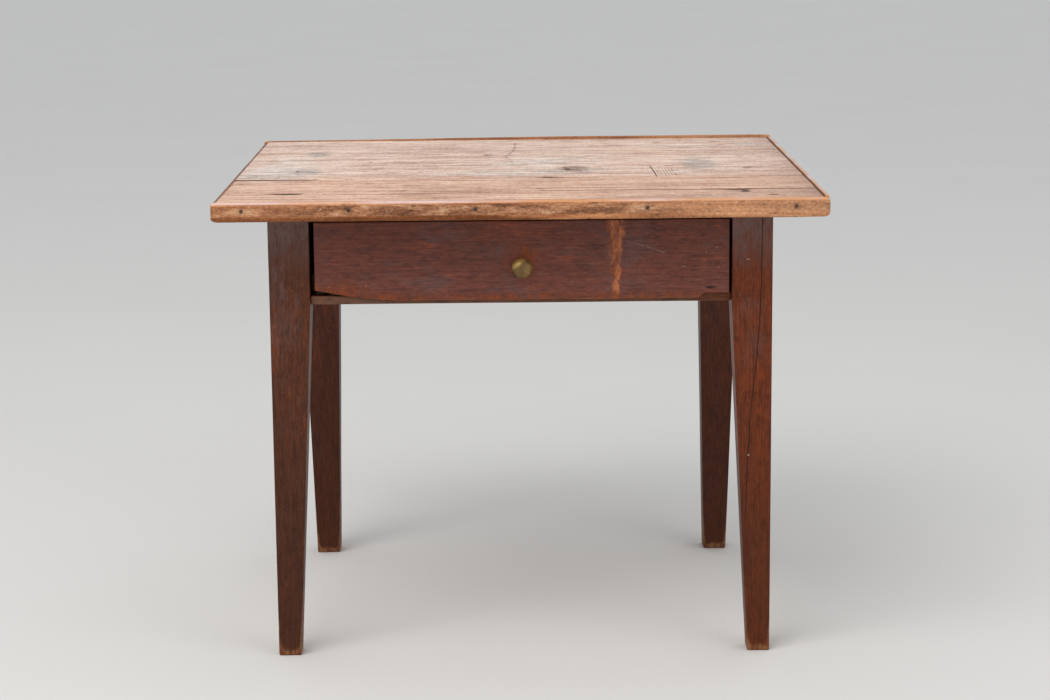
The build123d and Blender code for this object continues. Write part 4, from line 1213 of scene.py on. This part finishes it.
def drawer_side(hand, seed):
    """A drawer side: tails at its front end, a groove for the bottom, a housing for the back."""
    low, high = side_box[hand]
    inner = high[X] if hand == "left" else low[X]
    toward = -1 if hand == "left" else 1
    groove_x = sorted((inner, inner + toward * GROOVE))
    house_x = sorted((inner, inner + toward * HOUSING))
    slack = 1 * MM
    before, after = (slack, 0) if toward > 0 else (0, slack)
    reach_in = [groove_x[0] - before, groove_x[1] + after]
    house_in = [house_x[0] - before, house_x[1] + after]
    removed = [
        ((reach_in[0], -1, bottom_low[Z]), (reach_in[1], 1, bottom_high[Z])),
        ((house_in[0], back_low[Y], bottom_high[Z]), (house_in[1], back_high[Y], 1)),
    ]
    below = SIDE_Z - 1
    for middle in TAIL_MIDDLES:
        removed.append(((-1, -1, below), (1, TAIL_ROOT, middle - TAIL_TIP_HALF)))
        below = middle + TAIL_TIP_HALF
    removed.append(((-1, -1, below), (1, TAIL_ROOT, 2)))
    stops = (
        groove_x + house_x,
        [TAIL_ROOT, back_low[Y], back_high[Y]],
        [bottom_low[Z], bottom_high[Z], *TAIL_EDGES],
    )
    plain_board(
        f"drawer_side_{hand}", low, high, Y, "bare_y", "drawer", "bare_wood", seed, 0.7,
        removed, stops, slope_tails, 4.0, shade_where_laid_bare,
    )


drawer_face()
drawer_side("left", 81)
drawer_side("right", 85)
for name, seed in (("drawer_back", 89), ("drawer_bottom_front", 93), ("drawer_bottom_rear", 97)):
    plain_board(name, *corners(name), X, "bare_x", "drawer", "bare_wood", seed)


SNUG = 0.998   # the knob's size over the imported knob's
RIM = 0.58     # how far along its depth the knob is widest
KNOB_UNDER = [   # the profile behind the dome: radius and depth as shares of the whole
    (0.998, 0.565), (1.0, 0.545), (0.985, 0.52), (0.93, 0.50), (0.80, 0.475), (0.60, 0.44),
    (0.45, 0.39), (0.37, 0.32), (0.36, 0.24), (0.38, 0.16), (0.46, 0.11), (0.56, 0.085),
    (0.58, 0.05), (0.575, 0.0),
]


def turned_knob():
    """The knob: a profile turned round the Y axis.

    The dome is a quarter ellipse from the tip to the rim; the rest of the profile is
    a list of radii and depths, smoothed by averaging neighbours.
    """
    low, high = corners("knob")
    centre = (low + high) / 2
    size = (high[X] - low[X]) / 2 * SNUG
    long = (high[Y] - low[Y]) * SNUG
    swing = np.linspace(0.0, math.pi / 2, 26)
    dome_radius, dome_depth = 0.99 * np.sin(swing), RIM + 0.42 * np.cos(swing)
    place = np.linspace(0, 1, len(KNOB_UNDER))
    fine = np.linspace(0, 1, 44)
    under_radius = np.interp(fine, place, [r for r, _ in KNOB_UNDER])
    under_depth = np.interp(fine, place, [d for _, d in KNOB_UNDER])
    radius = size * np.concatenate([dome_radius, under_radius])
    depth = long * np.concatenate([dome_depth, under_depth])
    radius[27:-1] = (radius[26:-2] + 2 * radius[27:-1] + radius[28:]) / 4
    turns = 72
    angle = np.arange(turns) * 2 * math.pi / turns
    ring_x = centre[X] + radius[1:, None] * np.cos(angle)
    ring_z = centre[Z] + radius[1:, None] * np.sin(angle)
    ring_y = np.broadcast_to(high[Y] - depth[1:, None], ring_x.shape)
    rows = np.stack([ring_x, ring_y, ring_z], axis=2).reshape(-1, 3)
    ends = np.array([[centre[X], high[Y] - depth[0], centre[Z]], [centre[X], high[Y], centre[Z]]])
    points = np.concatenate([rows, ends])
    count = len(radius) - 1
    row, column = np.meshgrid(np.arange(count - 1), np.arange(turns), indexing="ij")
    a = row * turns + column
    b = row * turns + (column + 1) % turns
    quads = np.stack([a, b, b + turns, a + turns], axis=2).reshape(-1, 4)
    tip, seat = len(rows), len(rows) + 1
    around = np.arange(0, turns, 2)
    last = (count - 1) * turns
    cap = np.stack([np.full(len(around), tip), (around + 2) % turns, around + 1, around], axis=1)
    following = last + (around + 2) % turns
    base = np.stack([np.full(len(around), seat), last + around, last + around + 1, following], axis=1)
    quads = np.concatenate([quads, cap, base])
    points = rub(points, quads, 0.02 * MM, (0.009, 0.009, 0.009), 99)
    # The worn field: wear on the rim at the right, and painted highlights on the upper left and the right
    # side.
    rim = np.exp(-((high[Y] - points[:, Y]) / long - RIM) ** 2 / 0.006)
    right = ease(points[:, X] - centre[X] - 0.4 * (points[:, Z] - centre[Z]), -0.2 * size, size)
    upper_left = ease(points[:, Z] - centre[Z] - 0.8 * (points[:, X] - centre[X]), 0.1 * size, size)
    fields = dict(worn=0.05 + 0.55 * rim * right + 0.28 * right + 0.6 * upper_left)
    make_piece("turned_knob", points, quads, FINISHES["brass"], "drawer", ["knob"], fields)


turned_knob()

# pieces shown as they are packed
AS_PACKED = {
    "drawer_stops": "bare_x", "glue_blocks": "bare_x", "joint_pegs": "rail_y", "top_screws": "iron",
    "runner_nails": "iron", "drawer_nails": "iron", "knob_stud": "iron", "knob_washer": "iron",
    "knob_nut": "iron",
}
for node, finish in AS_PACKED.items():
    for material_slot in frame["nodes"][node].material_slots:
        material_slot.material = FINISHES[finish]

# ------------------------------------------------------------------ floor, light and camera


def pale_floor():
    """A wide matt floor, staged so that it isn't part of the object."""
    f = Finish("pale_floor")
    cloud = f.noise(f.place, 2.0, 3.0)
    f.set(Base_Color=f.mix(cloud, (0.70, 0.68, 0.65), (0.74, 0.72, 0.69)), Roughness=0.9)
    mesh = bpy.data.meshes.new("floor")
    reach = 60.0
    outline = [(-reach, -reach, 0), (reach, -reach, 0), (reach, reach, 0), (-reach, reach, 0)]
    mesh.from_pydata(outline, [], [(0, 1, 2, 3)])
    mesh.materials.append(f.material)
    floor = bpy.data.objects.new("floor", mesh)
    bpy.context.scene.collection.objects.link(floor)


def soft_light(name, place, target, size, watts, colour=(1.0, 1.0, 1.0)):
    """A square lamp at a place, turned to face the target."""
    lamp = bpy.data.lights.new(name, "AREA")
    lamp.size = size
    lamp.energy = watts
    lamp.color = colour
    holder = bpy.data.objects.new(name, lamp)
    holder.location = place
    holder.rotation_euler = (Vector(target) - Vector(place)).to_track_quat("-Z", "Y").to_euler()
    bpy.context.scene.collection.objects.link(holder)


def studio():
    """An even, slightly blue surround with a warm key light and a weak fill."""
    world = bpy.data.worlds.new("studio")
    world.use_nodes = True
    sky = world.node_tree.nodes["Background"]
    sky.inputs["Color"].default_value = (0.93, 0.96, 1.0, 1.0)
    sky.inputs["Strength"].default_value = 0.75
    bpy.context.scene.world = world
    bpy.context.scene.view_settings.view_transform = "Standard"
    soft_light("key", (-1.3, -2.0, 3.0), (0, 0, 0.4), 2.4, 62.0, (1.0, 0.98, 0.95))
    soft_light("fill", (2.2, -2.2, 1.6), (0, 0, 0.35), 2.0, 14.0)


LENS_MM = 85.55
EYE = (-0.01343, -3.11809, 0.91952)
LOOK = (0.348, 10.830, -0.522)   # turned right, tipped down and rolled, in degrees


def camera():
    """The camera: its forward axis from yaw and pitch, and its other two turned by the roll."""
    lens = bpy.data.cameras.new("camera")
    lens.sensor_width = 36.0
    lens.lens = LENS_MM
    holder = bpy.data.objects.new("camera", lens)
    yaw, pitch, roll = (math.radians(a) for a in LOOK)
    forward = Vector((math.sin(yaw) * math.cos(pitch), math.cos(yaw) * math.cos(pitch), -math.sin(pitch)))
    right = forward.cross(Vector((0, 0, 1))).normalized()
    up = right.cross(forward)
    right, up = math.cos(roll) * right + math.sin(roll) * up, math.cos(roll) * up - math.sin(roll) * right
    turn = Matrix((right, up, -forward)).transposed().to_4x4()
    holder.matrix_world = Matrix.Translation(EYE) @ turn
    bpy.context.scene.collection.objects.link(holder)
    bpy.context.scene.camera = holder


pale_floor()
studio()
camera()
